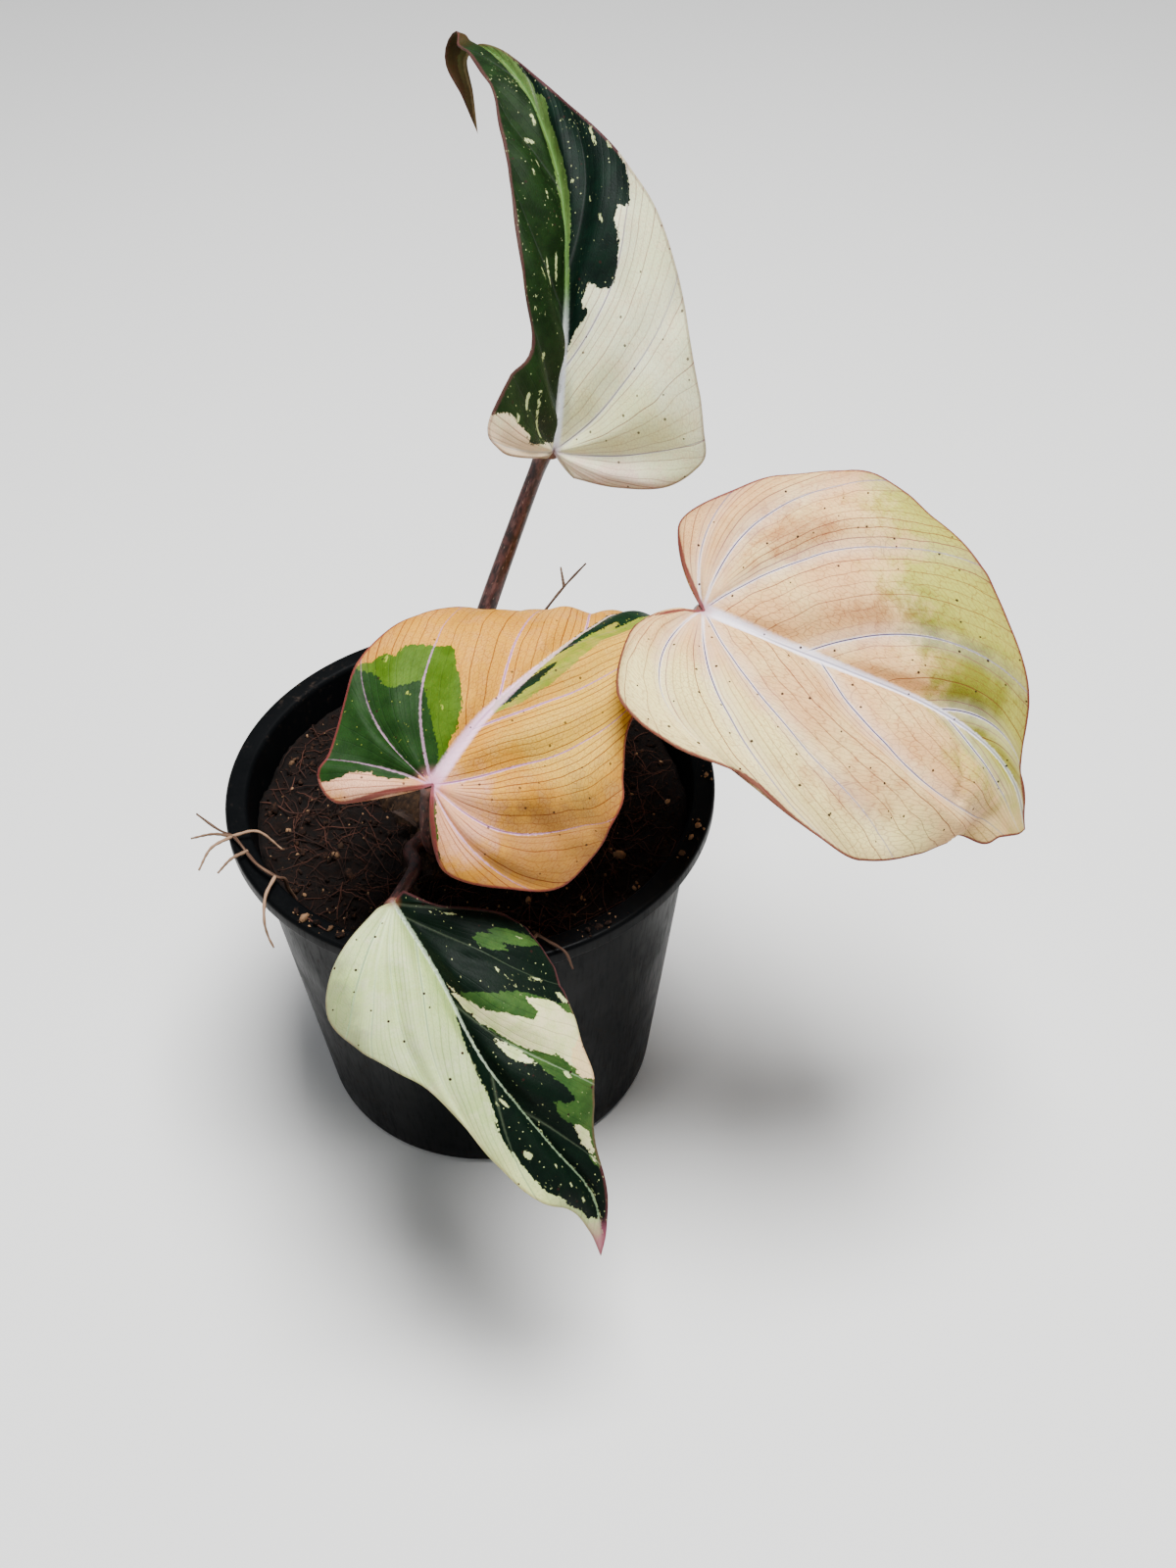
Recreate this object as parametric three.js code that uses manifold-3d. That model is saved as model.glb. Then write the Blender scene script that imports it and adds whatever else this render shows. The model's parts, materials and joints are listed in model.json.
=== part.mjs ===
// Potted tricolor Philodendron gloriosum: four leaves on a creeping stem in a black nursery pot.
// Millimetres, +Z up. The origin is the centre of the pot's foot; the front leaf hangs over the -Y side.
import * as THREE from 'three'
import { mergeVertices } from 'three/addons/utils/BufferGeometryUtils.js'
import Module from 'manifold-3d'

const wasm = await Module()
wasm.setup()

// Pot sizes
const POT_HEIGHT = 115
const RIM_RADIUS = 70
const WALL_TOP_RADIUS = 65
const FOOT_RADIUS = 52.5
const WALL = 1.4
const FLOOR = 2
const SKIRT_DROP = 4.5
const SKIRT_WALL = 1.2
const DRAIN_RADIUS = 4
const DRAIN_CIRCLE = 36
const DRAIN_COUNT = 6
const DRAIN_SIDES = 12
const FOOT_BEVEL = 1.5
const RIM_BEVEL = 0.8
const INNER_BEVEL = 1
const POT_SEGMENTS = 44

// Soil sizes
const SOIL_TOP = 105
const SOIL_MOUND = 1.2
const SOIL_MOUND_CENTRE = [-8, -8]
const SOIL_MOUND_SPREAD = 1500
const SOIL_LUMP = 0.7
const SOIL_FOOT_STEP = 4
const SOIL_FLAT_EDGE = 0.95
const SOIL_RINGS = [1, 0.86, 0.72, 0.57, 0.42, 0.26, 0.12, 0]
const SOIL_SEGMENTS = 36
const FIT_GAP = 0.3

// Leaf sizes
const BLADE_THICKNESS = 0.8
const MIDRIB_HEIGHT = 1.0
const VEIN_HEIGHT = 0.45
const QUILT = 0.5
const EDGE_WAVE = 0.6
const EDGE_WAVE_TURNS = 23
const CURL_WIDTH = 50
const MIDRIB_ROUNDING = 4
// A blade's puffs and ribs die out just inside its edge.
const BODY_RATE = 1.15
const REACH_STEPS = 6

// Each side of a blade has twelve outline points, and its veins run from the midrib to that outline.
const OUTLINE_LAST = 11
// The mesh has two strips for each outline point, and four near the tip, where the blade curls most.
const FINE_FROM = 9
const VEINS = [
  ...Array.from({ length: 2 * FINE_FROM }, (_, i) => i / 2),
  ...Array.from({ length: 4 * (OUTLINE_LAST - FINE_FROM) + 1 }, (_, i) => FINE_FROM + i / 4),
].map((place) => place / OUTLINE_LAST)
// Where the vein to each outline point leaves the midrib, as a share of the blade's length.
const VEIN_STARTS = [0, 0, 0, 0, 0, 0, 0, 0.1, 0.28, 0.52, 0.74, 0.98]
// How far each vein bows towards the leaf base, as a share of its own length.
const VEIN_BOWS = [0.14, 0.2, 0.26, 0.3, 0.3, 0.3, 0.3, 0.29, 0.28, 0.24, 0.15, 0]
// A blade's lobes bow less where they are folded; the full bow is back at this outline point.
const LOBE_END = 5

// Blades. route: the midrib from stalk to tip. face: which way the upper face looks at the base and tip.
// fold: degrees that a half rises from the midrib, at base and tip. curl: degrees it turns over CURL_WIDTH.
// outline: across and along the flat blade, from the notch at the stalk round to the tip.
const LEAVES = {
  upright: {
    route: [
      [26, 24, 209], [28, 31, 225], [30, 45, 245], [29, 64, 262], [23, 83, 274],
      [15, 98, 280], [6, 110, 280], [0, 111, 276], [2, 107, 268], [5, 103, 263],
    ],
    face: [[0.33, -0.61, 0.72], [-0.5, -0.36, 0.79]],
    left: {
      fold: [58, 50],
      curl: [-20, -20],
      lobeBow: 0.2,
      outline: [
        [12, 0], [27, 3], [36, 7], [38, 10], [34, 14], [26, 19],
        [17, 25], [20, 41], [20, 64], [11, 92], [4, 114], [0, 148],
      ],
    },
    right: {
      fold: [35, 20],
      curl: [-20, -30],
      lobeBow: 0.5,
      outline: [
        [6, -6], [18, -7], [31, -5], [39, 3], [38, 12], [34, 27],
        [30, 41], [25, 56], [19, 67], [8, 88], [3, 112], [0, 148],
      ],
    },
  },
  right: {
    route: [
      [64, -6, 180], [81, -15, 177], [99, -22, 173], [120, -28, 166],
      [135, -33, 157], [144, -37, 146], [148, -42, 134],
    ],
    face: [[0, -0.61, 0.79], [0.1, -0.72, 0.69]],
    left: {
      fold: [8, 5],
      curl: [-25, -25],
      lobeBow: 1,
      outline: [
        [9, -10], [19, -16], [31, -9], [43, 2], [53, 25], [47, 49],
        [39, 61], [28, 72], [16, 83], [4, 92], [1, 103], [0, 109],
      ],
    },
    right: {
      fold: [40, 25],
      curl: [-25, -40],
      lobeBow: 1,
      outline: [
        [8, -6], [18, -12], [39, -5], [44, 12], [42, 27], [47, 45],
        [47, 62], [35, 84], [17, 105], [9, 107], [3, 109], [0, 109],
      ],
    },
  },
  centre: {
    route: [
      [-5, -51, 162], [6, -39, 171], [16, -29, 175], [28, -15, 176],
      [36, -3, 173], [42, 9, 167], [49, 18, 157], [54, 23, 143],
    ],
    face: [[0, -0.72, 0.7], [0.19, 0.93, 0.32]],
    left: {
      fold: [0, 0],
      curl: [-25, -30],
      lobeBow: 0.6,
      outline: [
        [7, -7], [16, -17], [24, -15], [26, -8], [32, 7], [35, 16],
        [35, 29], [33, 44], [28, 60], [20, 78], [10, 96], [0, 113],
      ],
    },
    right: {
      fold: [0, 0],
      curl: [-30, -40],
      lobeBow: 0.8,
      outline: [
        [5, -7], [15, -15], [29, -11], [40, -2], [41, 28], [35, 37],
        [28, 45], [24, 56], [19, 67], [13, 82], [6, 98], [0, 113],
      ],
    },
  },
  front: {
    route: [
      [-17, -59, 128], [-5, -77, 120], [6, -93, 106], [22, -106, 89],
      [32, -112, 77], [35, -117, 67], [35, -121, 57],
    ],
    face: [[0.1, -0.41, 0.91], [0, -0.65, 0.76]],
    left: {
      fold: [30, 20],
      curl: [-115, -95],
      lobeBow: 0.15,
      outline: [
        [4, -1], [11, 9], [25, 19], [28, 27], [29, 37], [27, 52],
        [23, 61], [20, 68], [16, 73], [8, 84], [3, 97], [0, 112],
      ],
    },
    right: {
      fold: [30, 20],
      curl: [-115, -95],
      lobeBow: 0.15,
      outline: [
        [5, 0], [15, 4], [24, 9], [30, 18], [28, 29], [22, 38],
        [16, 46], [14, 56], [14, 68], [12, 82], [5, 98], [0, 112],
      ],
    },
  },
}

// Stalks. route: from the creeping stem up to near the blade; two more points come from the blade itself.
const STALKS = {
  upright: {
    route: [[-12, -6, 107], [-6, -2, 130], [3, 13, 154], [11, 22, 174]],
    base: 3.3,
    top: 2.1,
  },
  right: {
    route: [[-7.5, -13, 109], [4, -12, 118], [20, -8, 127], [42, -2, 143], [57, -2, 160]],
    base: 2.9,
    top: 1.9,
  },
  centre: {
    route: [[-6.5, -23.5, 108.5], [-7, -30, 116], [-8.5, -37, 127], [-8.3, -42, 139.6]],
    base: 2.4,
    top: 1.8,
  },
  front: {
    route: [[-12.8, -18.5, 109], [-15.5, -28.5, 115.5], [-13.5, -39, 119]],
    base: 2.2,
    top: 1.7,
  },
}
const STALK_LENGTH_UNDER_BLADE = 8
const STALK_LEAN_UNDER_BLADE = 2
const STALK_FLARE = 0.9
const STALK_FLARE_SHARE = 0.2
const STALK_TAPER_RATE = 1.15
const STALK_SIDES = 10
const STALK_STEPS = 18

// The creeping stem lies half sunk in the soil.
const STEM_ROUTE = [[-24, 9, 103], [-17, -2, 104], [-10, -12, 105], [-9, -24, 105], [-10, -31, 107]]
const STEM_RADIUS = 7
const STEM_TIP_RADIUS = 3.5
const STEM_RING = 0.4
const STEM_RINGS = 6
const STEM_BLUNT_SHARE = 0.1
const STEM_BLUNT_END = 0.12
const STEM_TAPER_FROM = 0.55
const STEM_SIDES = 14
const STEM_STEPS = 22

// Roots that poke out over the rim. Each is a trunk with side branches, all of one thickness.
const ROOT_RADIUS = 0.6
const ROOT_SIDES = 6
const ROOT_STEPS_PER_POINT = 3
const ROOTS = {
  left: [
    [[-46, -37, 102], [-48.5, -38, 111], [-49, -38.3, 115.2], [-51.2, -39, 117.2], [-57, -34, 117],
      [-62.5, -26, 116.6], [-65, -23, 116.6], [-69.5, -20.5, 117], [-76, -15, 117.5]],
    [[-65, -23, 116.6], [-70.5, -22.5, 117], [-76.5, -23.5, 116.4]],
    [[-60, -29, 116.8], [-64, -32, 117], [-68, -34, 113.5]],
    [[-65, -23, 116.6], [-70.5, -27, 116], [-74, -31, 111.5]],
    [[-65, -23, 116.6], [-58, -22, 117.2], [-52, -23, 111]],
    [[-51.2, -39, 117.2], [-53, -46, 117], [-53.3, -51, 113], [-53, -51.5, 107], [-52, -52, 103]],
  ],
  front: [
    [[17, -53, 102], [18.3, -57.8, 111], [18.6, -58.6, 115.2], [19.8, -61.3, 117.2], [23, -63.5, 116.8],
      [27, -67, 116.8], [29, -70, 113.5]],
    [[19.8, -61.3, 117.2], [16, -65, 117], [11, -67, 116.8]],
  ],
  back: [
    [[12, 56, 102], [14.5, 59.3, 111], [14.8, 59.8, 115.2], [17, 63, 117.4], [20.5, 71, 118.8],
      [27, 80, 122], [34, 88, 125]],
    [[27, 80, 122], [26, 85, 126]],
  ],
}

// Materials
const material = (color, roughness) => new THREE.MeshStandardMaterial({ color, roughness, metalness: 0 })
const MATERIALS = {
  pot: material(0x101012, 0.45),
  soil: material(0x2a1b14, 0.98),
  stem: material(0x4a3424, 0.85),
  root: material(0x6e4a36, 0.9),
  stalk: material(0x5b3b33, 0.7),
  uprightBlade: material(0x2f4a2c, 0.55),
  rightBlade: material(0xe6cfa8, 0.55),
  centreBlade: material(0xd9a86c, 0.55),
  frontBlade: material(0xc3cf9c, 0.55),
}

// Small helpers
const WELD_DISTANCE = 1e-3
const vector = (xyz) => new THREE.Vector3(...xyz)
const curveThrough = (points) => new THREE.CatmullRomCurve3(points, false, 'catmullrom', 0.5)
const mix = THREE.MathUtils.lerp
const radians = THREE.MathUtils.degToRad
const clamp = THREE.MathUtils.clamp

// Join corners that coincide and drop triangles that have no area.
function weld(geometry) {
  const plain = new THREE.BufferGeometry()
  plain.setAttribute('position', geometry.getAttribute('position'))
  if (geometry.index) plain.setIndex(geometry.index)
  const merged = mergeVertices(plain, WELD_DISTANCE)
  const kept = []
  for (let i = 0; i < merged.index.count; i += 3) {
    const [a, b, c] = [0, 1, 2].map((k) => merged.index.getX(i + k))
    if (a !== b && b !== c && c !== a) kept.push(a, b, c)
  }
  merged.setIndex(kept)
  return merged
}

// Triangles given as lists of three vectors
function fromTriangles(triangles) {
  const geometry = new THREE.BufferGeometry()
  geometry.setFromPoints(triangles.flat())
  return weld(geometry)
}

function toSolid(geometry) {
  const welded = weld(geometry)
  const vertProperties = new Float32Array(welded.getAttribute('position').array)
  const triVerts = new Uint32Array(welded.index.array)
  return new wasm.Manifold(new wasm.Mesh({ numProp: 3, vertProperties, triVerts }))
}

function toGeometry(solid) {
  const mesh = solid.getMesh()
  const geometry = new THREE.BufferGeometry()
  geometry.setAttribute('position', new THREE.BufferAttribute(new Float32Array(mesh.vertProperties), 3))
  geometry.setIndex(Array.from(mesh.triVerts))
  return geometry
}

// A closed round rod along a curve, with a radius for each share of the way.
function rod(curve, radiusAt, sides, steps) {
  const frames = curve.computeFrenetFrames(steps, false)
  const ring = (k) => {
    const centre = curve.getPointAt(k / steps)
    const radius = radiusAt(k / steps)
    return Array.from({ length: sides }, (_, s) => {
      const angle = (2 * Math.PI * s) / sides
      return centre.clone()
        .addScaledVector(frames.normals[k], radius * Math.cos(angle))
        .addScaledVector(frames.binormals[k], radius * Math.sin(angle))
    })
  }
  const rings = Array.from({ length: steps + 1 }, (_, k) => ring(k))
  const triangles = []
  for (let s = 0; s < sides; s += 1) {
    const n = (s + 1) % sides
    triangles.push([curve.getPointAt(0), rings[0][n], rings[0][s]])
    triangles.push([curve.getPointAt(1), rings[steps][s], rings[steps][n]])
    for (let k = 0; k < steps; k += 1) {
      triangles.push([rings[k][s], rings[k][n], rings[k + 1][n]])
      triangles.push([rings[k][s], rings[k + 1][n], rings[k + 1][s]])
    }
  }
  return fromTriangles(triangles)
}

// Pot: a tapered wall with a flat flange and a short skirt round its edge, and drain holes in the floor.
function potGeometry() {
  const innerTop = WALL_TOP_RADIUS - WALL
  const innerFoot = FOOT_RADIUS - WALL
  const flangeUnder = POT_HEIGHT - SKIRT_WALL
  const profile = [
    [0, 0], [FOOT_RADIUS - FOOT_BEVEL, 0], [FOOT_RADIUS, FOOT_BEVEL],
    [WALL_TOP_RADIUS, flangeUnder], [RIM_RADIUS - SKIRT_WALL, flangeUnder],
    [RIM_RADIUS - SKIRT_WALL, POT_HEIGHT - SKIRT_DROP], [RIM_RADIUS, POT_HEIGHT - SKIRT_DROP],
    [RIM_RADIUS, POT_HEIGHT - RIM_BEVEL], [RIM_RADIUS - RIM_BEVEL, POT_HEIGHT],
    [innerTop + RIM_BEVEL, POT_HEIGHT], [innerTop, POT_HEIGHT - INNER_BEVEL],
    [innerFoot, FLOOR + INNER_BEVEL], [innerFoot - INNER_BEVEL, FLOOR], [0, FLOOR],
  ]
  const points = profile.map(([r, z]) => new THREE.Vector2(r, z))
  const shell = new THREE.LatheGeometry(points, POT_SEGMENTS)
  shell.rotateX(Math.PI / 2)
  let pot = toSolid(shell)
  for (let i = 0; i < DRAIN_COUNT; i += 1) {
    const angle = (2 * Math.PI * (i + 0.5)) / DRAIN_COUNT
    const drain = new THREE.CylinderGeometry(DRAIN_RADIUS, DRAIN_RADIUS, 3 * FLOOR, DRAIN_SIDES)
    drain.rotateX(Math.PI / 2)
    drain.translate(DRAIN_CIRCLE * Math.cos(angle), DRAIN_CIRCLE * Math.sin(angle), FLOOR / 2)
    pot = pot.subtract(toSolid(drain))
  }
  return toGeometry(pot)
}

// Inner radius of the pot's wall at a height
function potInnerRadius(z) {
  const share = (z - FLOOR) / (POT_HEIGHT - INNER_BEVEL - FLOOR)
  return mix(FOOT_RADIUS, WALL_TOP_RADIUS, share) - WALL
}

// Soil: a plug that fills the pot, with a low lumpy mound on top and hollows for what stands in it.
function soilGeometry(sunkSolids) {
  const foot = potInnerRadius(FLOOR) - INNER_BEVEL - FIT_GAP
  const top = potInnerRadius(SOIL_TOP) - FIT_GAP
  const low = FLOOR + FIT_GAP
  const step = low + SOIL_FOOT_STEP
  const points = [[0, low], [foot, low], [potInnerRadius(step) - FIT_GAP, step]]
  SOIL_RINGS.forEach((share) => points.push([top * share, SOIL_TOP]))
  const plug = new THREE.LatheGeometry(points.map(([r, z]) => new THREE.Vector2(r, z)), SOIL_SEGMENTS)
  plug.rotateX(Math.PI / 2)
  const position = plug.getAttribute('position')
  for (let i = 0; i < position.count; i += 1) {
    const [x, y, z] = [position.getX(i), position.getY(i), position.getZ(i)]
    const radius = Math.hypot(x, y)
    if (z > SOIL_TOP - 1 && radius < top * SOIL_FLAT_EDGE) position.setZ(i, soilHeight(x, y))
  }
  let soil = toSolid(plug)
  sunkSolids.forEach((solid) => {
    soil = soil.subtract(solid)
  })
  return toGeometry(soil)
}

function soilHeight(x, y) {
  const [centreX, centreY] = SOIL_MOUND_CENTRE
  const mound = SOIL_MOUND * Math.exp(-((x - centreX) ** 2 + (y - centreY) ** 2) / SOIL_MOUND_SPREAD)
  const lumps = Math.sin(0.31 * x + 1.2) * Math.cos(0.27 * y) + 0.6 * Math.sin(0.55 * x - 0.4 * y)
  return SOIL_TOP + mound + SOIL_LUMP * lumps
}

// Creeping stem with low rings where old leaves stood
function stemGeometry(extra) {
  const radiusAt = (u) => {
    const end = Math.sqrt(Math.max(STEM_BLUNT_END, 1 - Math.max(0, 1 - u / STEM_BLUNT_SHARE) ** 2))
    const ring = STEM_RING * Math.cos(2 * Math.PI * STEM_RINGS * u)
    const taper = clamp((u - STEM_TAPER_FROM) / (1 - STEM_TAPER_FROM), 0, 1)
    return end * (mix(STEM_RADIUS, STEM_TIP_RADIUS, taper) + ring) + extra
  }
  return rod(curveThrough(STEM_ROUTE.map(vector)), radiusAt, STEM_SIDES, STEM_STEPS)
}

// The blade's own frame at a distance along its midrib: a point, the way on, and the way its face looks.
function midribFrame(leaf, along) {
  const share = clamp(along / leaf.length, 0, 1)
  const onward = leaf.curve.getTangentAt(share)
  const point = leaf.curve.getPointAt(share).addScaledVector(onward, along - share * leaf.length)
  const face = vector(leaf.face[0]).lerp(vector(leaf.face[1]), share)
  const up = face.addScaledVector(onward, -face.dot(onward)).normalize()
  return { share, point, onward, up, across: onward.clone().cross(up) }
}

// A place on the bent blade for a place on the flat one, raised by lift along the face.
function bentPoint(leaf, half, side, x, y, lift) {
  const frame = midribFrame(leaf, y)
  const fold = radians(mix(half.fold[0], half.fold[1], frame.share))
  const turn = radians(mix(half.curl[0], half.curl[1], frame.share) || 0.01) / CURL_WIDTH
  const edge = fold + turn * x
  const reach = (Math.sin(edge) - Math.sin(fold)) / turn
  const rise = (Math.cos(fold) - Math.cos(edge)) / turn
  const lean = edge * Math.min(1, x / MIDRIB_ROUNDING)
  return frame.point
    .addScaledVector(frame.across, side * (reach - lift * Math.sin(lean)))
    .addScaledVector(frame.up, rise + lift * Math.cos(lean))
}

// A place on the flat blade: vein 0 is the notch and vein 1 the tip; reach 0 is the midrib and 1 the edge.
function flatPoint(leaf, half, vein, reach) {
  const place = vein * OUTLINE_LAST
  const low = Math.min(Math.floor(place), OUTLINE_LAST - 1)
  const start = leaf.length * mix(VEIN_STARTS[low], VEIN_STARTS[low + 1], place - low)
  const ease = mix(half.lobeBow, 1, clamp((place - 1) / (LOBE_END - 1), 0, 1))
  const bow = ease * mix(VEIN_BOWS[low], VEIN_BOWS[low + 1], place - low)
  const end = half.curve.getPoint(vein)
  const across = end.x
  const along = end.y - start
  const control = [0.5 * across + bow * along, start + 0.5 * along - bow * across]
  const back = (1 - reach) ** 2
  const mid = 2 * reach * (1 - reach)
  const far = reach * reach
  return [mid * control[0] + far * across, back * start + mid * control[1] + far * end.y, start]
}

// Blade: both faces share one grid of veins. It puffs up between the main veins, and the ribs stand out below.
function bladeGeometry(leaf) {
  const triangles = []
  const halves = [[leaf.left, -1], [leaf.right, 1]]
  halves.forEach(([half, side]) => {
    const corner = (i, j, face) => {
      const vein = VEINS[i]
      const reach = j / REACH_STEPS
      const [x, y, start] = flatPoint(leaf, half, vein, reach)
      const onVein = 0.5 + 0.5 * Math.cos(Math.PI * OUTLINE_LAST * vein)
      const body = Math.sin(Math.PI * Math.min(reach * BODY_RATE, 1)) * (1 - vein ** 4)
      const puff = QUILT * body * (0.5 - onVein)
      const wave = EDGE_WAVE * reach ** 4 * Math.sin(EDGE_WAVE_TURNS * vein) * (1 - vein)
      const midrib = MIDRIB_HEIGHT * (1 - start / leaf.length) * (1 - reach) ** 4
      const rib = midrib + VEIN_HEIGHT * body * onVein * (1 - reach)
      const lift = face > 0 ? BLADE_THICKNESS / 2 : -BLADE_THICKNESS / 2 - rib
      return bentPoint(leaf, half, side, Math.max(x, 0), y, puff + wave + lift)
    }
    const quad = (a, b, c, d, out) => {
      if (out * side > 0) triangles.push([a, b, c], [a, c, d])
      else triangles.push([a, c, b], [a, d, c])
    }
    for (let i = 0; i < VEINS.length - 1; i += 1) {
      for (let j = 0; j < REACH_STEPS; j += 1) {
        [1, -1].forEach((face) => {
          const near = [corner(i, j, face), corner(i, j + 1, face)]
          const far = [corner(i + 1, j, face), corner(i + 1, j + 1, face)]
          quad(near[0], near[1], far[1], far[0], face)
        })
      }
      const edge = [corner(i, REACH_STEPS, 1), corner(i + 1, REACH_STEPS, 1)]
      const under = [corner(i, REACH_STEPS, -1), corner(i + 1, REACH_STEPS, -1)]
      quad(edge[0], under[0], under[1], edge[1], 1)
    }
    for (let j = 0; j < REACH_STEPS; j += 1) {
      quad(corner(0, j, 1), corner(0, j, -1), corner(0, j + 1, -1), corner(0, j + 1, 1), 1)
    }
  })
  return fromTriangles(triangles)
}

// Stalk: a tapering rod that leaves the creeping stem and bends in under the blade.
function stalkGeometry(leaf, stalk, stemHollow) {
  const frame = midribFrame(leaf, 0)
  const below = BLADE_THICKNESS / 2 + MIDRIB_HEIGHT + FIT_GAP
  const bend = frame.point.clone()
    .addScaledVector(frame.up, -STALK_LENGTH_UNDER_BLADE)
    .addScaledVector(frame.onward, -STALK_LEAN_UNDER_BLADE)
  const end = frame.point.clone().addScaledVector(frame.up, -below)
  const route = curveThrough([...stalk.route.map(vector), bend, end])
  const radiusAt = (u) => {
    const flare = STALK_FLARE * Math.max(0, 1 - u / STALK_FLARE_SHARE) ** 2
    return mix(stalk.base, stalk.top, Math.min(1, STALK_TAPER_RATE * u)) + flare
  }
  const whole = toSolid(rod(route, radiusAt, STALK_SIDES, STALK_STEPS))
  return toGeometry(whole.subtract(stemHollow))
}

// A root with its branches, fatter by extra when it is used to hollow out the soil.
function rootSolid(branches, extra) {
  const section = new THREE.Shape()
  section.absarc(0, 0, ROOT_RADIUS + extra, 0, 2 * Math.PI)
  const solids = branches.map((points) => toSolid(new THREE.ExtrudeGeometry(section, {
    steps: (points.length - 1) * ROOT_STEPS_PER_POINT,
    curveSegments: ROOT_SIDES / 2,
    bevelEnabled: false,
    extrudePath: curveThrough(points.map(vector)),
  })))
  return solids.reduce((joined, solid) => joined.add(solid))
}

// Put the object together
const group = new THREE.Group()

function addPiece(name, geometry, pieceMaterial) {
  const mesh = new THREE.Mesh(geometry, pieceMaterial)
  mesh.name = name
  group.add(mesh)
}

const stemHollow = toSolid(stemGeometry(FIT_GAP))
const rootHollows = Object.values(ROOTS).map((branches) => rootSolid(branches.slice(0, 1), FIT_GAP))

addPiece('pot', potGeometry(), MATERIALS.pot)
addPiece('soil', soilGeometry([stemHollow, ...rootHollows]), MATERIALS.soil)
addPiece('creeping_stem', stemGeometry(0), MATERIALS.stem)

for (const [name, leaf] of Object.entries(LEAVES)) {
  leaf.curve = curveThrough(leaf.route.map(vector))
  leaf.length = leaf.curve.getLength()
  for (const half of [leaf.left, leaf.right]) {
    half.curve = curveThrough(half.outline.map(([x, y]) => new THREE.Vector3(x, y, 0)))
  }
  addPiece(`stalk_${name}`, stalkGeometry(leaf, STALKS[name], stemHollow), MATERIALS.stalk)
  addPiece(`blade_${name}`, bladeGeometry(leaf), MATERIALS[`${name}Blade`])
}

for (const [name, branches] of Object.entries(ROOTS)) {
  addPiece(`root_${name}`, toGeometry(rootSolid(branches, 0)), MATERIALS.root)
}

export default group
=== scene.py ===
"""Looks of a potted tricolor Philodendron gloriosum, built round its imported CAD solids.

Shapes are worked out in millimetres in the frame of the pot's foot and turned into metres at the end.
Each leaf blade is drawn flat first: across from the midrib (left half negative) and along it from the stalk.
"""

import json
import math

import bmesh
import bpy
import numpy as np
from bpy.props import FloatProperty, FloatVectorProperty, IntProperty, PointerProperty
from mathutils import Euler, Matrix, Vector

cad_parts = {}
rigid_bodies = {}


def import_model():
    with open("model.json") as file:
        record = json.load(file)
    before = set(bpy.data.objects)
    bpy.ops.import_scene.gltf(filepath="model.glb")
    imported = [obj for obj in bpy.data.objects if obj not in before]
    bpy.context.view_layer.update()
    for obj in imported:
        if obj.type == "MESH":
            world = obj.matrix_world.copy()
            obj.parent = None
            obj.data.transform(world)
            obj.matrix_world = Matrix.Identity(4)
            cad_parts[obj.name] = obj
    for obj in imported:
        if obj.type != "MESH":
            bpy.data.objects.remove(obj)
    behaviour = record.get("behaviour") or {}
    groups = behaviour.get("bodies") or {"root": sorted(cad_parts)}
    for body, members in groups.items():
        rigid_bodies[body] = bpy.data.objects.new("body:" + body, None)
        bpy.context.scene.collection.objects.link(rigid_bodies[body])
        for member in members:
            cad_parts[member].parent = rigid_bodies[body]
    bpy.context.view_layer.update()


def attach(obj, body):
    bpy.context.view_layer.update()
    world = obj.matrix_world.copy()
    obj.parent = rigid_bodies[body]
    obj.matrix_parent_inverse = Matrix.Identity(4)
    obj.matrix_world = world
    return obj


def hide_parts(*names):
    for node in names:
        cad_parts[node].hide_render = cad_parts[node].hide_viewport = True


bl_info = {
    "name": "Potted tricolor philodendron",
    "version": (1, 0, 0),
    "blender": (4, 5, 0),
    "location": "View3D > Sidebar > Plant",
    "description": "Builds the pot, soil, stem, stalks, leaf blades and roots of a potted philodendron",
    "category": "Add Mesh",
}

for start_object in list(bpy.data.objects):
    bpy.data.objects.remove(start_object)
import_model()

MM = 0.001
# Corners that round to the same place, at this many steps a millimetre, are joined
JOIN_STEPS = 2000
# Steps along a smooth curve from one given point to the next
CURVE_STEPS = 60
# Rows and columns of the random table behind lumps()
LUMP_TABLE = 64
# How vivid() deepens a colour: distance from grey, and power
VIVID_GAIN, VIVID_POWER = 1.2, 1.12

# The same sizes as in the CAD source, in millimetres
RIM_TOP = 115
DRAIN_COUNT = 6
DRAIN_RADIUS = 4
DRAIN_CIRCLE = 36
SOIL_TOP = 105
SOIL_MOUND = 1.2
SOIL_MOUND_CENTRE = (-8, -8)
SOIL_MOUND_SPREAD = 1500
SOIL_LUMP = 0.7
FIT_GAP = 0.3
OUTLINE_LAST = 11
CURL_WIDTH = 50
MIDRIB_ROUNDING = 4
STALK_LENGTH_UNDER_BLADE = 8
STALK_LEAN_UNDER_BLADE = 2
STALK_FLARE = 0.9
STALK_FLARE_SHARE = 0.2
STEM_ROUTE = [(-24, 9, 103), (-17, -2, 104), (-10, -12, 105), (-9, -24, 105), (-10, -31, 107)]
STEM_RADIUS = 7
STEM_RINGS = 6

# The pot's profile is radius and height, from its floor outwards and back inside
POT_PROFILE = [(0, 0.9), (45.6, 0.9), (46.6, 0), (51, 0), (52.5, 1.5), (65, 113.8), (68.8, 113.8),
               (68.8, 110.5), (70, 110.5), (70, 114.2), (69.2, 115), (64.4, 115), (63.6, 114),
               (51.1, 3), (50.1, 2), (0, 2)]
POT_ROUNDING = 0.7
POT_LONGEST_STEP = 6
DRAIN_STEPS = 30
SHARP_ANGLE = math.radians(40)

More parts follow.
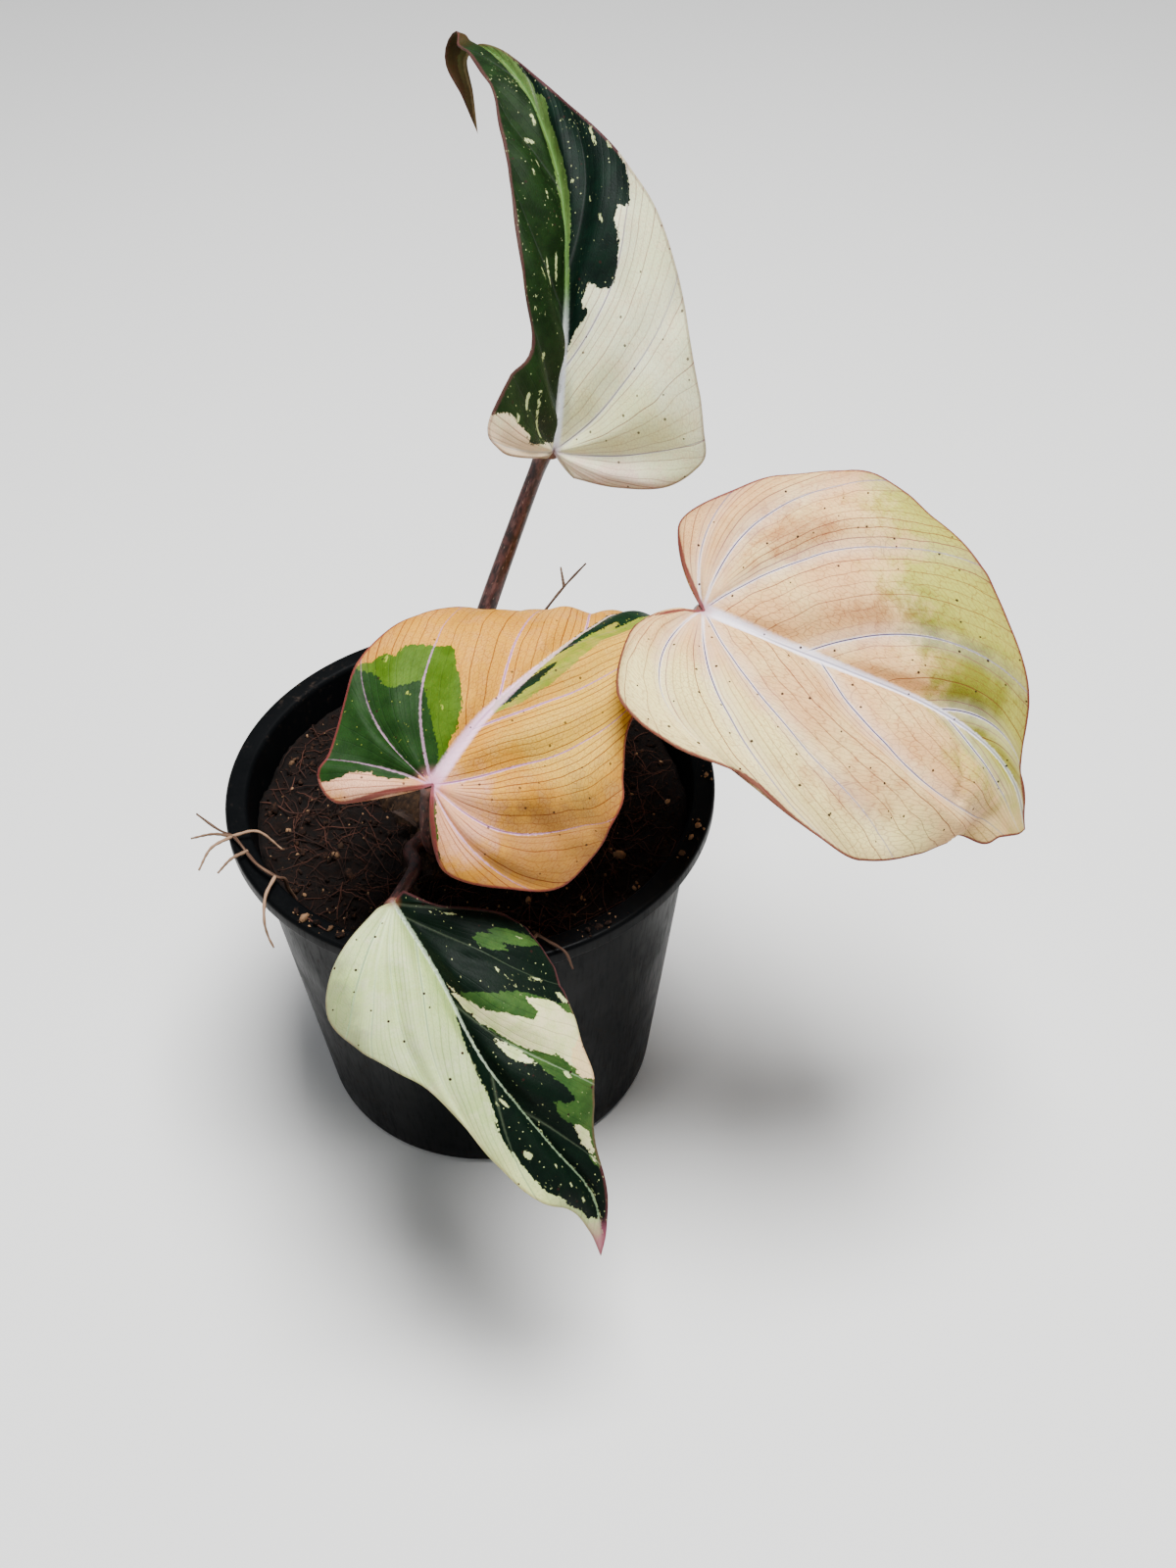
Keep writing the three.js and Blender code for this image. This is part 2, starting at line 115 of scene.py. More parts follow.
# Heights of the corners on the soil's side, how far its finer lumps lie below the CAD surface, and the lumps:
# height, size and seed
SOIL_FOOT = 2.3
SOIL_STEPS = (6.3, 98, 102)
SOIL_DROP = 0.4
SOIL_LUMPS = ((0.9, 6, 3), (0.7, 2.3, 4), (0.6, 1.1, 5))

# Loose bits: how far out they lie, crumbs on the soil and on the rim, fibres, and the seeds of the draws
LOOSE_RADIUS = 60.5
CRUMB_TYPICAL, CRUMB_SPREAD, CRUMB_LARGEST = 0.28, 0.75, 2.3
RIM_CRUMB_BAND = (65.2, 69)
RIM_CRUMBS_BESIDE = 7
FIBRE_SPREAD = 57
FIBRE_RADIUS = (0.07, 0.19)
FIBRE_SHORT, FIBRE_LONG, FIBRE_SHORT_SHARE = (4, 18), (18, 34), 0.9
FIBRE_THINNING, RIM_FIBRE_THINNING, RIM_FIBRE_RADIUS = 0.75, 0.7, 0.28
CRUMB_SEED = 11
FIBRE_SEED = 5
STEM_SEED = 8

# Steps along a tube and round it
STEM_STEPS, STEM_SIDES = 160, 48
STALK_STEPS, STALK_SIDES = 130, 28
FIBRE_STEPS, FIBRE_SIDES = 12, 5
RIM_FIBRE_STEPS, RIM_FIBRE_SIDES = 16, 6
ROOT_STEPS, ROOT_SIDES = 14, 12

# How a blade's mesh is divided. The fan's first columns and the start of the midrib's last ones are shares,
# and EDGE_ROWS are the last rows' distances from the edge, which shrink on a vein shorter than SHORT_VEIN.
MIDRIB_POINTS = 600
BORDER_POINTS = 331
FAN_START = (0, 0.004, 0.012, 0.02)
TIP_START = 0.9
TIP_COLUMNS = 14
LAST_START = 0.985
EDGE_ROWS = np.array([0.7, 0.3, 0.12, 0.03, 0])
SHORT_VEIN = 6
ROW_RATE = 1.15

# The edge is rounded over EDGE_ROUNDING, but not within reach of the stalk. TIP_TURN is the stretch of the
# midrib over which the face turns to tip_face. NO_FLECK stands for a distance where there is no fleck.
EDGE_ROUNDING = 0.4
STALK_REACH = (1, 3.8)
TIP_TURN = (0.8, 0.93)
NO_FLECK = 9.0

# Relief of a blade. Grooves and ribs have a depth and a half width, VEIN_RIB is a share of the vein's
# groove and each swelling has a height, a size and a seed. The stalk ends STALK_INSET below the midrib.
VEIN_GROOVE = (0.3, 0.9)
MIDRIB_GROOVE = (0.4, 1.5)
MIDRIB_RIB = (0.9, 1.4)
VEIN_RIB = 0.8
PUFF_SPACING = 14
SWELLS = ((0.8, 14, 31), (0.25, 6, 32))
STALK_INSET = 0.9

# The camera in metres and degrees, as fitted to the photograph, and the lamps: place, size and setting
CAMERA_PLACE = (0.0336, -0.3603, 0.4614)
CAMERA_PITCH = 45.9
CAMERA_ROLL = -0.9
LENS_LENGTH = 40
SENSOR_WIDTH = 36
LAMPS = [("key", (0.14, 0.0, 1.34), 0.6, "key_power"), ("fill", (-1.1, -0.7, 1.0), 1.2, "fill_power")]
LAMP_AIM = (0.03, -0.02, 0.14)
FLOOR = [(-3, -3, -0.0005), (3, -3, -0.0005), (3, 3, -0.0005), (-3, 3, -0.0005)]
SKY = (0.86, 0.89, 0.95, 1)

# Blades. route, face, fold, curl and outline are those of the CAD source, but for the upright blade's tip
# and the centre blade's lower right corner. tip_face is where the upper face looks at a tip that turns away
# from face. veins: outline place, start along the midrib and bow of each main vein, from the notch to the
# tip. creases: a line on the flat blade, its depth and its width.
LEAVES = {
    "upright": {
        "route": [(26, 24, 209), (28, 31, 225), (30, 45, 245), (29, 64, 262), (23, 83, 274),
                  (15, 98, 280), (7.5, 109.5, 279.5), (3.5, 110.5, 276), (5, 107, 269), (6, 103, 263)],
        "face": [(0.33, -0.61, 0.72), (-0.5, -0.36, 0.79)], "tip_face": (-0.4, 0.9, -0.2),
        "halves": [
            {"fold": (58, 50), "curl": (-20, -20),
             "outline": [(12, 0), (27, 3), (36, 7), (38, 10), (34, 14), (26, 19),
                         (17, 25), (20, 41), (20, 64), (13.5, 93), (8.6, 118), (0, 148)],
             "veins": [(2.5, 0, 0.05), (5, 0, 0.05), (7, 0.08, 0.2), (8, 0.24, 0.2), (9, 0.46, 0.18),
                       (10, 0.7, 0.1)]},
            {"fold": (35, 20), "curl": (-20, -30),
             "outline": [(6, -6), (18, -7), (31, -5), (39, 3), (38, 12), (34, 27),
                         (30, 41), (25, 56), (19, 67), (8, 88), (2.6, 108), (0, 148)],
             "veins": [(3.7, 0, 0.12), (6.1, 0, 0.12), (8, 0.14, 0.14), (8.9, 0.31, 0.11), (10, 0.62, 0.08)]},
        ],
        "creases": [([(22, 30), (30, 36)], -1.2, 5)],
    },
    "right": {
        "route": [(64, -6, 180), (81, -15, 177), (99, -22, 173), (120, -28, 166),
                  (135, -33, 157), (144, -37, 146), (148, -42, 134)],
        "face": [(0, -0.61, 0.79), (0.1, -0.72, 0.69)],
        "halves": [
            {"fold": (8, 5), "curl": (-25, -25),
             "outline": [(9, -10), (19, -16), (31, -9), (43, 2), (53, 25), (47, 49),
                         (39, 61), (28, 72), (16, 83), (4, 92), (1, 103), (0, 109)],
             "veins": [(2.2, 0, 0.25), (4.3, 0, 0.43), (6, 0, 0.27), (7.9, 0.26, 0.23), (9.2, 0.6, 0.25)]},
            {"fold": (40, 25), "curl": (-25, -40),
             "outline": [(8, -6), (18, -12), (39, -5), (44, 12), (42, 27), (47, 45),
                         (47, 62), (35, 84), (17, 105), (9, 107), (3, 109), (0, 109)],
             "veins": [(4.1, 0, 0.59), (5.2, 0, 0.21), (6.5, 0, 0.13), (9.2, 0.3, 0.46), (10.2, 0.62, 0.2)]},
        ],
        "creases": [([(8, 75), (13, 79), (18, 82)], -1.6, 1.6)],
    },
    "centre": {
        "route": [(-5, -51, 162), (6, -39, 171), (16, -29, 175), (28, -15, 176),
                  (36, -3, 173), (42, 9, 167), (49, 18, 157), (54, 23, 143)],
        "face": [(0, -0.72, 0.7), (0.19, 0.93, 0.32)],
        "halves": [
            {"fold": (0, 0), "curl": (-25, -30),
             "outline": [(7, -7), (16, -17), (24, -15), (26, -8), (32, 7), (35, 16),
                         (35, 29), (33, 44), (28, 60), (20, 78), (10, 96), (0, 113)],
             "veins": [(2.8, 0, -0.1), (5, 0, 0.21), (7.3, 0, 0.15), (9.1, 0.24, 0.13), (10.1, 0.55, 0.1)]},
            {"fold": (0, 0), "curl": (-30, -40),
             "outline": [(5, -7), (15, -15.5), (30, -10), (43.5, 1.5), (41.5, 28), (35, 37),
                         (28, 45), (24, 56), (19, 67), (13, 82), (6, 98), (0, 113)],
             "veins": [(2.45, 0, 0.22), (4.05, 0, 0.49), (6.9, 0, 0.23), (8.05, 0.15, 0.06),
                       (9.6, 0.45, 0.08)]},
        ],
        "creases": [([(24, 8), (38, 6)], -1.0, 3), ([(-18, -8), (-25, -12)], 1.2, 2)],
    },
    "front": {
        "route": [(-17, -59, 128), (-5, -77, 120), (6, -93, 106), (22, -106, 89),
                  (32, -112, 77), (35, -117, 67), (35, -121, 57)],
        "face": [(0.1, -0.41, 0.91), (0, -0.65, 0.76)],
        "halves": [
            {"fold": (30, 20), "curl": (-115, -95),
             "outline": [(4, -1), (11, 9), (25, 19), (28, 27), (29, 37), (27, 52),
                         (23, 61), (20, 68), (16, 73), (8, 84), (3, 97), (0, 112)],
             "veins": [(1.9, 0, -0.08), (4.2, 0.03, -0.1), (7.5, 0.27, 0.02), (9.3, 0.56, 0.08)]},
            {"fold": (30, 20), "curl": (-115, -95),
             "outline": [(5, 0), (15, 4), (24, 9), (30, 18), (28, 29), (22, 38),
                         (16, 46), (14, 56), (14, 68), (12, 82), (5, 98), (0, 112)],
             "veins": [(3.8, 0, 0.1), (4.6, 0, 0.12), (6, 0, 0.2), (7.4, 0.1, 0.1), (9, 0.45, 0.1)]},
        ],
        "creases": [([(10, 18), (16, 30), (17, 47)], -1.6, 2.6),
                    ([(-4, 10), (-9, 15), (-15, 19), (-24, 21)], -0.8, 1.6),
                    ([(-8, 23), (-18, 30), (-28, 40)], -0.8, 1.6)],
    },
}

# The edge that the centre blade's two green patches share
LOBE_EDGE = [(-6, -2), (-8, -4), (-12, -6), (-14, -6), (-18, -9), (-19, -12), (-23, -15), (-40, -16)]

# Patches of colour on the flat blades, as outlines in millimetres. LOOKS says in which order they are laid.
PATCHES = {
    "upright": {
        "dark_right": [(-0.2, 20), (1, 24), (3, 30), (7, 35), (5, 37), (7, 42), (10, 40), (13, 41), (14, 45),
                       (15, 52), (14, 55), (15, 59), (18, 58), (19, 62), (18.5, 66), (17, 70), (30, 74),
                       (14, 130), (-0.2, 150)],
        "dark_left": [(0.2, 3), (-11, 4), (-21, 6), (-21, 8), (-25, 10), (-28, 12), (-40, 13), (-44, 60),
                      (-20, 150), (0.2, 150)],
        "lime_midrib": [(0.3, 36), (1.1, 52), (2.2, 62), (2.6, 84), (3.6, 92), (2.2, 94), (2.4, 118),
                        (1.8, 148), (-1.8, 148), (-1.8, 90), (-1, 56), (-0.3, 36)],
        "yellow_base": [(1, 3), (6, 18), (20, 18), (30, 14), (36, 8), (21, 2), (5, 0)],
        "rosy_lobe": [(3, -2), (12, -9), (34, -8), (22, 0)],
        "left_lobe": [(-2, -2), (-42, -2), (-42, 14), (-25, 12), (-11, 4)],
    },
    "right": {
        "yellow_green": [(-60, 20), (-48, 28), (-40, 36), (-36, 44), (-26, 40), (-21, 45), (-15, 54),
                         (-10, 60), (-2, 62), (4, 71), (11, 75), (11, 86), (4, 101), (-10, 115), (-60, 90)],
        "olive": [(-24, 47), (-22, 54), (-18, 61), (-22, 70), (-16, 78), (-12, 79), (-2, 77), (-2, 68),
                  (-8, 62), (-16, 52)],
        # The three tan patches are tan colour with painted shade of the valleys between the puffs
        "upper_tan": [(-24, 2), (-33, 10), (-35, 23), (-26, 20), (-21, 10)],
        "middle_tan": [(-13, 34), (-20, 40), (-18, 49), (-11, 41)],
        "lower_tan": [(34, 37), (30, 45), (30, 54), (34, 62), (38, 52), (37, 42)],
        "pale_lobe": [(20, 1), (29, -12), (44, -8), (60, 30), (60, 60), (37, 86), (27, 80), (35, 56),
                      (24, 32), (22, 19)],
    },
    "centre": {
        "rosy_lobe": [(-3, -1), (-36, -4), (-36, -24), (-2, -12)],
        "gold": [(8, 20), (34, 20), (30, 60), (12, 90), (4, 60)],
        "light_green": [(-36, 12), (-32, 16), (-30, 19), (-27, 20), (-28, 22), (-19, 30), (-14, 26), (-9, 23),
                        (-6, 20), (-3, 15), (-0.5, 4), *LOBE_EDGE],
        "dark_green": [(-36, 12), (-30, 14), (-25, 14), (-22, 14), (-20, 16), (-18, 19), (-15, 17), (-14, 17),
                       (-9, 13), (-4, 8), (-0.5, 3), *LOBE_EDGE],
        "stripe_light": [(1.5, 24), (4, 31), (6, 39), (7, 49), (7, 58), (8, 68), (12, 84), (20, 100),
                         (-0.3, 100), (-0.3, 24)],
        "stripe_first": [(1, 26), (0.4, 32), (1, 39), (3, 45), (3.4, 42), (3, 36), (2.4, 30)],
        "stripe_second": [(0, 41), (-0.3, 58), (-0.3, 108), (9, 96), (8, 84), (5, 69), (4, 72), (3, 66),
                          (2, 58), (1, 50)],
        # The lower right patch is a duller brown, partly the blade's own colour and partly painted shade
        # where the blade turns away from the light
        "low_shade": [(20, -14), (48, -2), (46, 28), (34, 34), (28, 20), (18, 6)],
        "pink_notch": [(0, -8), (8, -12), (18, -10), (20, -2), (10, 8), (2, 6)],
        "notch_sliver": [(1, -2), (2, -6), (5, -11), (9, -15), (13, -16), (13, -14), (10, -12), (7, -8),
                         (5, -5), (3, -2)],
    },
    "front": {
        "green_side": [(-1, 0), (3, 8), (5, 30), (3, 42), (-1, 42)],
        # The outer patch is painted shade where the curled edge of the pale half turns away from the light
        "outer_shade": [(19, 8), (36, 12), (36, 42), (30, 60), (20, 70), (22, 54), (25, 38), (24, 26)],
        "yellow_strip": [(14, 48), (10, 74), (7, 92), (3, 104), (30, 100), (30, 48)],
        "peach": [(-18, 60), (-24, 58), (-26, 66), (-20, 70), (-17, 66)],
        "dark_left": [(0.3, 2), (-0.4, 114), (-40, 114), (-40, -10), (-4, -6)],
        "dark_right": [(-0.3, 34), (1, 34), (1, 36), (2, 42), (3, 46), (4, 51), (5, 55), (6, 58), (8, 62),
                       (9, 65), (9, 70), (9.6, 74), (9, 78), (9, 82), (7, 87), (6, 92), (3, 98), (-0.3, 100)],
        "light_patch": [(-12, 20), (-14, 19), (-18, 20), (-23, 22), (-25, 22), (-28, 28), (-23, 27),
                        (-18, 25.5), (-13, 23.5)],
        "light_band": [(-3, 29), (-9, 32), (-13, 34), (-18, 37), (-22, 42), (-27, 48), (-30, 56), (-26, 70),
                       (-9, 90), (-5, 86), (-7, 81), (-8, 75), (-7, 70), (-8, 66), (-10, 69), (-13, 70),
                       (-12, 63), (-11, 57), (-9, 51), (-7, 44), (-4, 38)],
        "cream_band": [(-1, 25.5), (-3, 30), (-5, 33), (-7, 36), (-11, 39), (-13, 41), (-16, 45), (-18, 43),
                       (-17, 38), (-24, 44), (-25, 50), (-29, 56), (-24, 66), (-20, 65), (-17, 63), (-16, 58),
                       (-13, 54), (-10, 49), (-7, 42), (-4, 38), (-2, 33)],
        "cream_spot": [(-8, 74), (-9.4, 76), (-9.6, 78), (-8.6, 81), (-6, 86), (-6.4, 82), (-7, 78)],
        "cream_slip": [(-5, 43), (-7, 46), (-9, 50), (-11, 56.5), (-8, 53), (-6.4, 50), (-5.6, 46)],
    },
}

# Colours of the blades. ground: three that cloud into each other. tints and patches are laid over it in
# order: tints with a colour, softness and strength, patches with two colours and how much they hide the
# pale veins. strands: how many fine veins between two main ones; strand is their colour. flecks: their
# strength and the level of noise that makes one. midrib: the colours near and far from the stalk and where
# they change; midrib_width: the half widths near and far, and how far. halo_width: at the start and the end
# of a main vein. band: strength of the wide pale band along it. edge_vein: its own strength at the blade's
# edge. core: the line in its middle. dark_vein: how much of the pale veins shows in a dark patch. heart: the
# colour and radius of the spot over the stalk. rosy: strength of the hem's colour further in. tip: its
# colour, where it starts and is full, and its strength.
LOOKS = {
    "upright": {
        "ground": ("E0E2C4", "D7DBB6", "DFD6B8"),
        "tints": [("yellow_base", "DEE0A8", 5, 0.4), ("rosy_lobe", "E2C6C2", 4, 0.6),
                  ("left_lobe", "DEC6AA", 4, 0.8)],
        "strands": 8, "strand": "835F5A", "strand_strength": 0.72, "mesh_strength": 0.2,
        "patches": [("dark_right", "0F2219", "0A1813", 1), ("dark_left", "1D3016", "13230E", 1),
                    ("lime_midrib", "62784A", "52673C", 0.9)],
        "flecks": (0.75, 0.72), "fleck": "B4BC90", "dark_vein": 0.03, "halo": "E2DEDC", "halo_strength": 0.55,
        "halo_width": (0.8, 0.3), "band": 0.08, "edge_vein": 0.6, "core": "6A6672", "core_strength": 0.7,
        "midrib": ("E4E6E8", "5E7C4A", 34), "midrib_width": (2.2, 0.7, 75), "midrib_strength": 1,
        "heart": ("A88892", 3.5), "hem": "5E3C40", "hem_strength": 0.5, "rosy": 0.12, "speck_strength": 0.8,
        "tip": ("6A4638", 114, 140, 0.7), "under": "3A3C26", "under_vein": "9C8A6C",
    },
    "right": {
        "ground": ("E0BA8E", "E8CE9E", "D2A67C"),
        # The three tan tints darken the ground with tan colour and painted shade of the valleys between the
        # puffs
        "tints": [("yellow_green", "A6AC58", 8, 0.85), ("olive", "70742E", 6, 0.8),
                  ("pale_lobe", "F0E4AC", 6, 0.8), ("upper_tan", "A67A58", 6, 0.7),
                  ("middle_tan", "AA7C5C", 4, 0.6), ("lower_tan", "B08062", 6, 0.65)],
        "strands": 7, "strand": "743A34", "strand_strength": 0.85, "mesh_strength": 0.4, "patches": [],
        "flecks": (0, 1), "fleck": "E6DAB0", "dark_vein": 1, "halo": "F2EEF4", "halo_strength": 0.7,
        "halo_width": (0.76, 0.3), "band": 0.15, "edge_vein": 0.4, "core": "544C6C", "core_strength": 1,
        "midrib": ("F0ECF4", "E4E8D6", 80), "midrib_width": (2.5, 0.8, 90), "midrib_strength": 0.95,
        "heart": ("B0605A", 4), "hem": "6A3236", "hem_strength": 0.9, "rosy": 0.2, "speck_strength": 0.95,
        "tip": ("C8C080", 90, 112, 0.4), "under": "B89474", "under_vein": "E0C8C4",
    },
    "centre": {
        "ground": ("D0A058", "C09048", "D2A26A"),
        # The lower right tint is a duller brown, partly the blade's own colour and partly painted shade where
        # the blade turns away from the light
        "tints": [("rosy_lobe", "E4BAA2", 5, 0.9), ("gold", "D2BA68", 8, 0.5),
                  ("low_shade", "8C6C50", 8, 0.6), ("pink_notch", "E2B6A6", 5, 0.6)],
        "strands": 9, "strand": "6C341E", "strand_strength": 0.85, "mesh_strength": 0.4,
        "patches": [("light_green", "465F1E", "56702E", 0.3), ("dark_green", "284220", "1E3618", 1),
                    ("stripe_light", "7E8A3C", "9C9450", 2.4), ("stripe_first", "17311B", "102414", 2.4),
                    ("stripe_second", "17311B", "102414", 2.4), ("notch_sliver", "3C5C22", "1F3E1C", 0.6)],
        "flecks": (0.5, 0.76), "fleck": "A0A858", "dark_vein": 0.6, "halo": "ECCADC", "halo_strength": 0.8,
        "halo_width": (0.52, 0.2), "band": 0, "edge_vein": 0.25, "core": "8E5E8C", "core_strength": 0.8,
        "midrib": ("F0CEE0", "E6D0C4", 45), "midrib_width": (2.3, 0.4, 62), "midrib_strength": 0.95,
        "heart": ("DC90A8", 6), "hem": "703A3C", "hem_strength": 0.85, "rosy": 0.2, "speck_strength": 0.8,
        "tip": ("C8A070", 90, 115, 0.4), "under": "A06C4C", "under_vein": "DDBEB8",
    },
    "front": {
        "ground": ("C8D4A4", "B8C890", "D8DABC"),
        # The outer tint is painted shade where the curled edge of the pale half turns away from the light
        "tints": [("green_side", "9AB070", 2.5, 0.7), ("yellow_strip", "D8DE9C", 4, 0.6),
                  ("outer_shade", "868C6C", 4, 0.8)],
        "strands": 8, "strand": "748C58", "strand_strength": 0.5, "mesh_strength": 0.32,
        "patches": [("dark_left", "08160F", "0C1C12", 1), ("dark_right", "08160F", "0C1C12", 1),
                    ("light_patch", "38522C", "4A6438", 0.4), ("light_band", "344E2A", "465F35", 0.4),
                    ("cream_band", "E2DCB4", "CFD4A0", 0), ("peach", "E4D0A2", "E0CCA4", 0),
                    ("cream_spot", "E2DCB4", "CDD4A0", 0), ("cream_slip", "DCDCB8", "C0CC98", 0)],
        "flecks": (0.8, 0.725), "fleck": "C4CC9C", "dark_vein": 0.1, "halo": "DCE6C4", "halo_strength": 0.35,
        "halo_width": (0.75, 0.28), "band": 0, "edge_vein": 0.6, "core": "7E9678", "core_strength": 0.7,
        "midrib": ("D0DEC8", "A8BC9C", 55), "midrib_width": (0.85, 0.3, 70), "midrib_strength": 0.8,
        "heart": ("8C6048", 3), "hem": "7A4C50", "hem_strength": 0.35, "rosy": 0.05, "speck_strength": 1,
        "tip": ("B47486", 98, 108, 0.85), "under": "7C7C4A", "under_vein": "C8B8A0",
    },
}

# Pale flecks that stand out in the dark patches: a line on the flat blade and its half width
FLECKS = {
    "upright": [([(-19, 16), (-20, 13)], 0.6), ([(-15, 16), (-15, 11), (-14, 8), (-12, 6)], 0.5),
                ([(-25, 12), (-26, 11)], 0.5), ([(-5.6, 86.5), (-5.4, 83.5)], 0.3),
                ([(-8.6, 79), (-7, 78.6)], 0.7), ([(-12, 24), (-12.6, 22.6)], 0.6),
                ([(-14, 43), (-12.6, 41)], 0.45), ([(-7, 48), (-6, 42)], 0.35),
                ([(-10, 63), (-10, 60.5)], 0.25), ([(-13, 68), (-13, 66)], 0.3), ([(-9, 72), (-9, 70)], 0.35),
                ([(-10, 46), (-9, 40)], 0.3), ([(12, 78), (12, 73.5)], 0.35), ([(15, 73), (15.6, 71.6)], 0.4),
                ([(4, 68), (4, 67)], 0.3), ([(8, 62), (8, 61)], 0.3), ([(11, 57), (11, 55)], 0.35)],
    "front": [([(-20.5, 33.5), (-23.5, 36.1)], 0.55), ([(-9.6, 10.8), (-11.7, 12.6)], 0.4),
              ([(-22.2, 23.7), (-24.4, 24.8)], 0.6), ([(-26, 42), (-26.8, 47.1)], 0.7),
              ([(-14, 28), (-14, 29.2)], 0.4), ([(-15.6, 31.7), (-15.8, 32.2)], 0.3),
              ([(-18.8, 35.8), (-18.9, 36.2)], 0.35), ([(-7.4, 7.3), (-6.9, 8.6)], 0.3),
              ([(-14.6, 62.5), (-14.7, 64.1)], 0.5), ([(3, 57.3), (2.2, 59.8)], 0.4),
              ([(6.4, 72), (6.3, 73)], 0.8), ([(4.2, 57.5), (4.1, 58)], 0.3), ([(3, 78.9), (3, 79.4)], 0.3),
              ([(3.5, 85), (3.5, 85.6)], 0.35), ([(2.9, 91.3), (3, 92)], 0.4)],
    "centre": [([(-28.5, 18), (-29.5, 18.6)], 0.5), ([(-18.2, 14.9), (-18.3, 15.2)], 0.5),
               ([(-8.6, 16.4), (-10.2, 17.6)], 0.3)],
}

# Stalks. route is that of the CAD source; radius at the stem and under the blade. A low collar, with a
# height and a half width, goes round each one near the blade.
STALK_COLLAR_PLACE = 0.94
STALK_COLLAR = (0.35, 0.04)
STALKS = {
    "upright": {"route": [(-12, -6, 107), (-6, -2, 130), (3, 13, 154), (11, 22, 174)], "radius": (3.3, 2.1)},
    "right": {"route": [(-7.5, -13, 109), (4, -12, 118), (20, -8, 127), (42, -2, 143), (57, -2, 160)],
              "radius": (2.9, 1.9)},
    "centre": {"route": [(-6.5, -23.5, 108.5), (-7, -30, 116), (-8.5, -37, 127), (-8.3, -42, 139.6)],
               "radius": (2.4, 1.8)},
    "front": {"route": [(-12.8, -18.5, 109), (-15.5, -28.5, 115.5), (-13.5, -39, 119)], "radius": (2.2, 1.7)},
}

# Crumbs on the rim, with place, size and tint, and the line of each fibre by the rim
RIM_CRUMBS = [(-44.5, -50.2, 1.2, 0.3), (-42, -52.5, 1.6, 0.9), (-38.5, -54.5, 1.4, 0.2),
              (-35, -56.5, 1.0, 0.7), (-32, -58.8, 1.2, 0.4), (64, -20.5, 1.3, 0.75), (61.8, -25.1, 1.0, 0.8),
              (67.6, -0.1, 0.9, 0.75), (59, -31, 1.0, 0.7), (33, -58.2, 1.1, 0.4), (36, -57, 0.9, 0.6),
              (38.3, -56, 1.2, 0.3)]
RIM_FIBRES = [[(-42.8, -51, 115.3), (-39.6, -54.1, 115.4), (-35.9, -57, 115.3)],
              [(-62, 1, 106), (-57.5, -0.5, 106.6), (-52.9, -3.9, 106.5), (-48.6, -4, 106)]]

# Scraps of dried sheath: place, length, half width, heading and tilt
SHEATH_SCRAPS = [(-17, -36, 109, 9, 1.9, 0.9, 0.5), (-14, -39, 108, 8, 1.6, 2.2, 0.7),
                 (-12, -35, 109, 7, 1.8, -0.6, 0.9), (-17, -30, 109, 8, 1.7, 1.5, 0.8),
                 (-6, -20, 109, 9, 1.5, 0.4, 0.5), (-12, -10, 110, 10, 1.8, 1.3, 0.6),
                 (-19, -1, 109, 11, 2.0, 1.9, 0.3), (-15, -14, 110, 8, 1.5, 2.8, 0.4),
                 (-22, 8, 108, 9, 1.7, -0.9, 0.4)]

# Roots over the rim, a trunk and its thinner branches each
ROOT_RADIUS, ROOT_TAPER, ROOT_LUMP, BRANCH_SHARE = 0.62, 0.3, 0.05, 0.85
ROOTS = {
    "left": [
        [(-46, -37, 102), (-48.5, -38, 111), (-49, -38.3, 115.2), (-51.2, -39, 117.2), (-57, -34, 117),
         (-62.5, -26, 116.6), (-65, -23, 116.6), (-69.5, -20.5, 117), (-76, -15, 117.5)],
        [(-65, -23, 116.6), (-70.5, -22.5, 117), (-76.5, -23.5, 116.4)],
        [(-60, -29, 116.8), (-64, -32, 117), (-68, -34, 113.5)],
        [(-65, -23, 116.6), (-70.5, -27, 116), (-74, -31, 111.5)],
        [(-65, -23, 116.6), (-58, -22, 117.2), (-52, -23, 111)],
        [(-51.2, -39, 117.2), (-53, -46, 117), (-53.3, -51, 113), (-53, -51.5, 107), (-52, -52, 103)],
    ],
    "front": [
        [(17, -53, 102), (18.3, -57.8, 111), (18.6, -58.6, 115.2), (19.8, -61.3, 117.2), (23, -63.5, 116.8),
         (27, -67, 116.8), (29, -70, 113.5)],
        [(19.8, -61.3, 117.2), (16, -65, 117), (11, -67, 116.8)],
    ],
    "back": [
        [(12, 56, 102), (14.5, 59.3, 111), (14.8, 59.8, 115.2), (17, 63, 117.4), (20.5, 71, 118.8),
         (27, 80, 122), (34, 88, 125)],
        [(27, 80, 122), (26, 85, 126)],
    ],
}


# Numbers and curves


def linear(code):
    """A colour given as six hex digits of a screen colour, as linear red, green and blue."""
    parts = [int(code[i:i + 2], 16) / 255 for i in (0, 2, 4)]
    return tuple(p / 12.92 if p <= 0.04045 else ((p + 0.055) / 1.055) ** 2.4 for p in parts)


def vivid(colour):
    """A deeper version of a colour, for a surface that soft light would wash out."""
    grey = sum(colour) / 3
    return tuple(max(0.001, grey + VIVID_GAIN * (part - grey)) ** VIVID_POWER for part in colour)


def hues(value):
    """The same value with every hex colour in it turned into a deep linear one."""
    if isinstance(value, str) and len(value) == 6 and set(value) <= set("0123456789ABCDEF"):
        return vivid(linear(value))
    if isinstance(value, (tuple, list)):
        return [hues(part) for part in value]
    return value


def smooth(value, low, high):
    """0 below low, 1 above high, and a soft step between."""
    t = np.clip((value - low) / (high - low), 0, 1)
    return t * t * (3 - 2 * t)


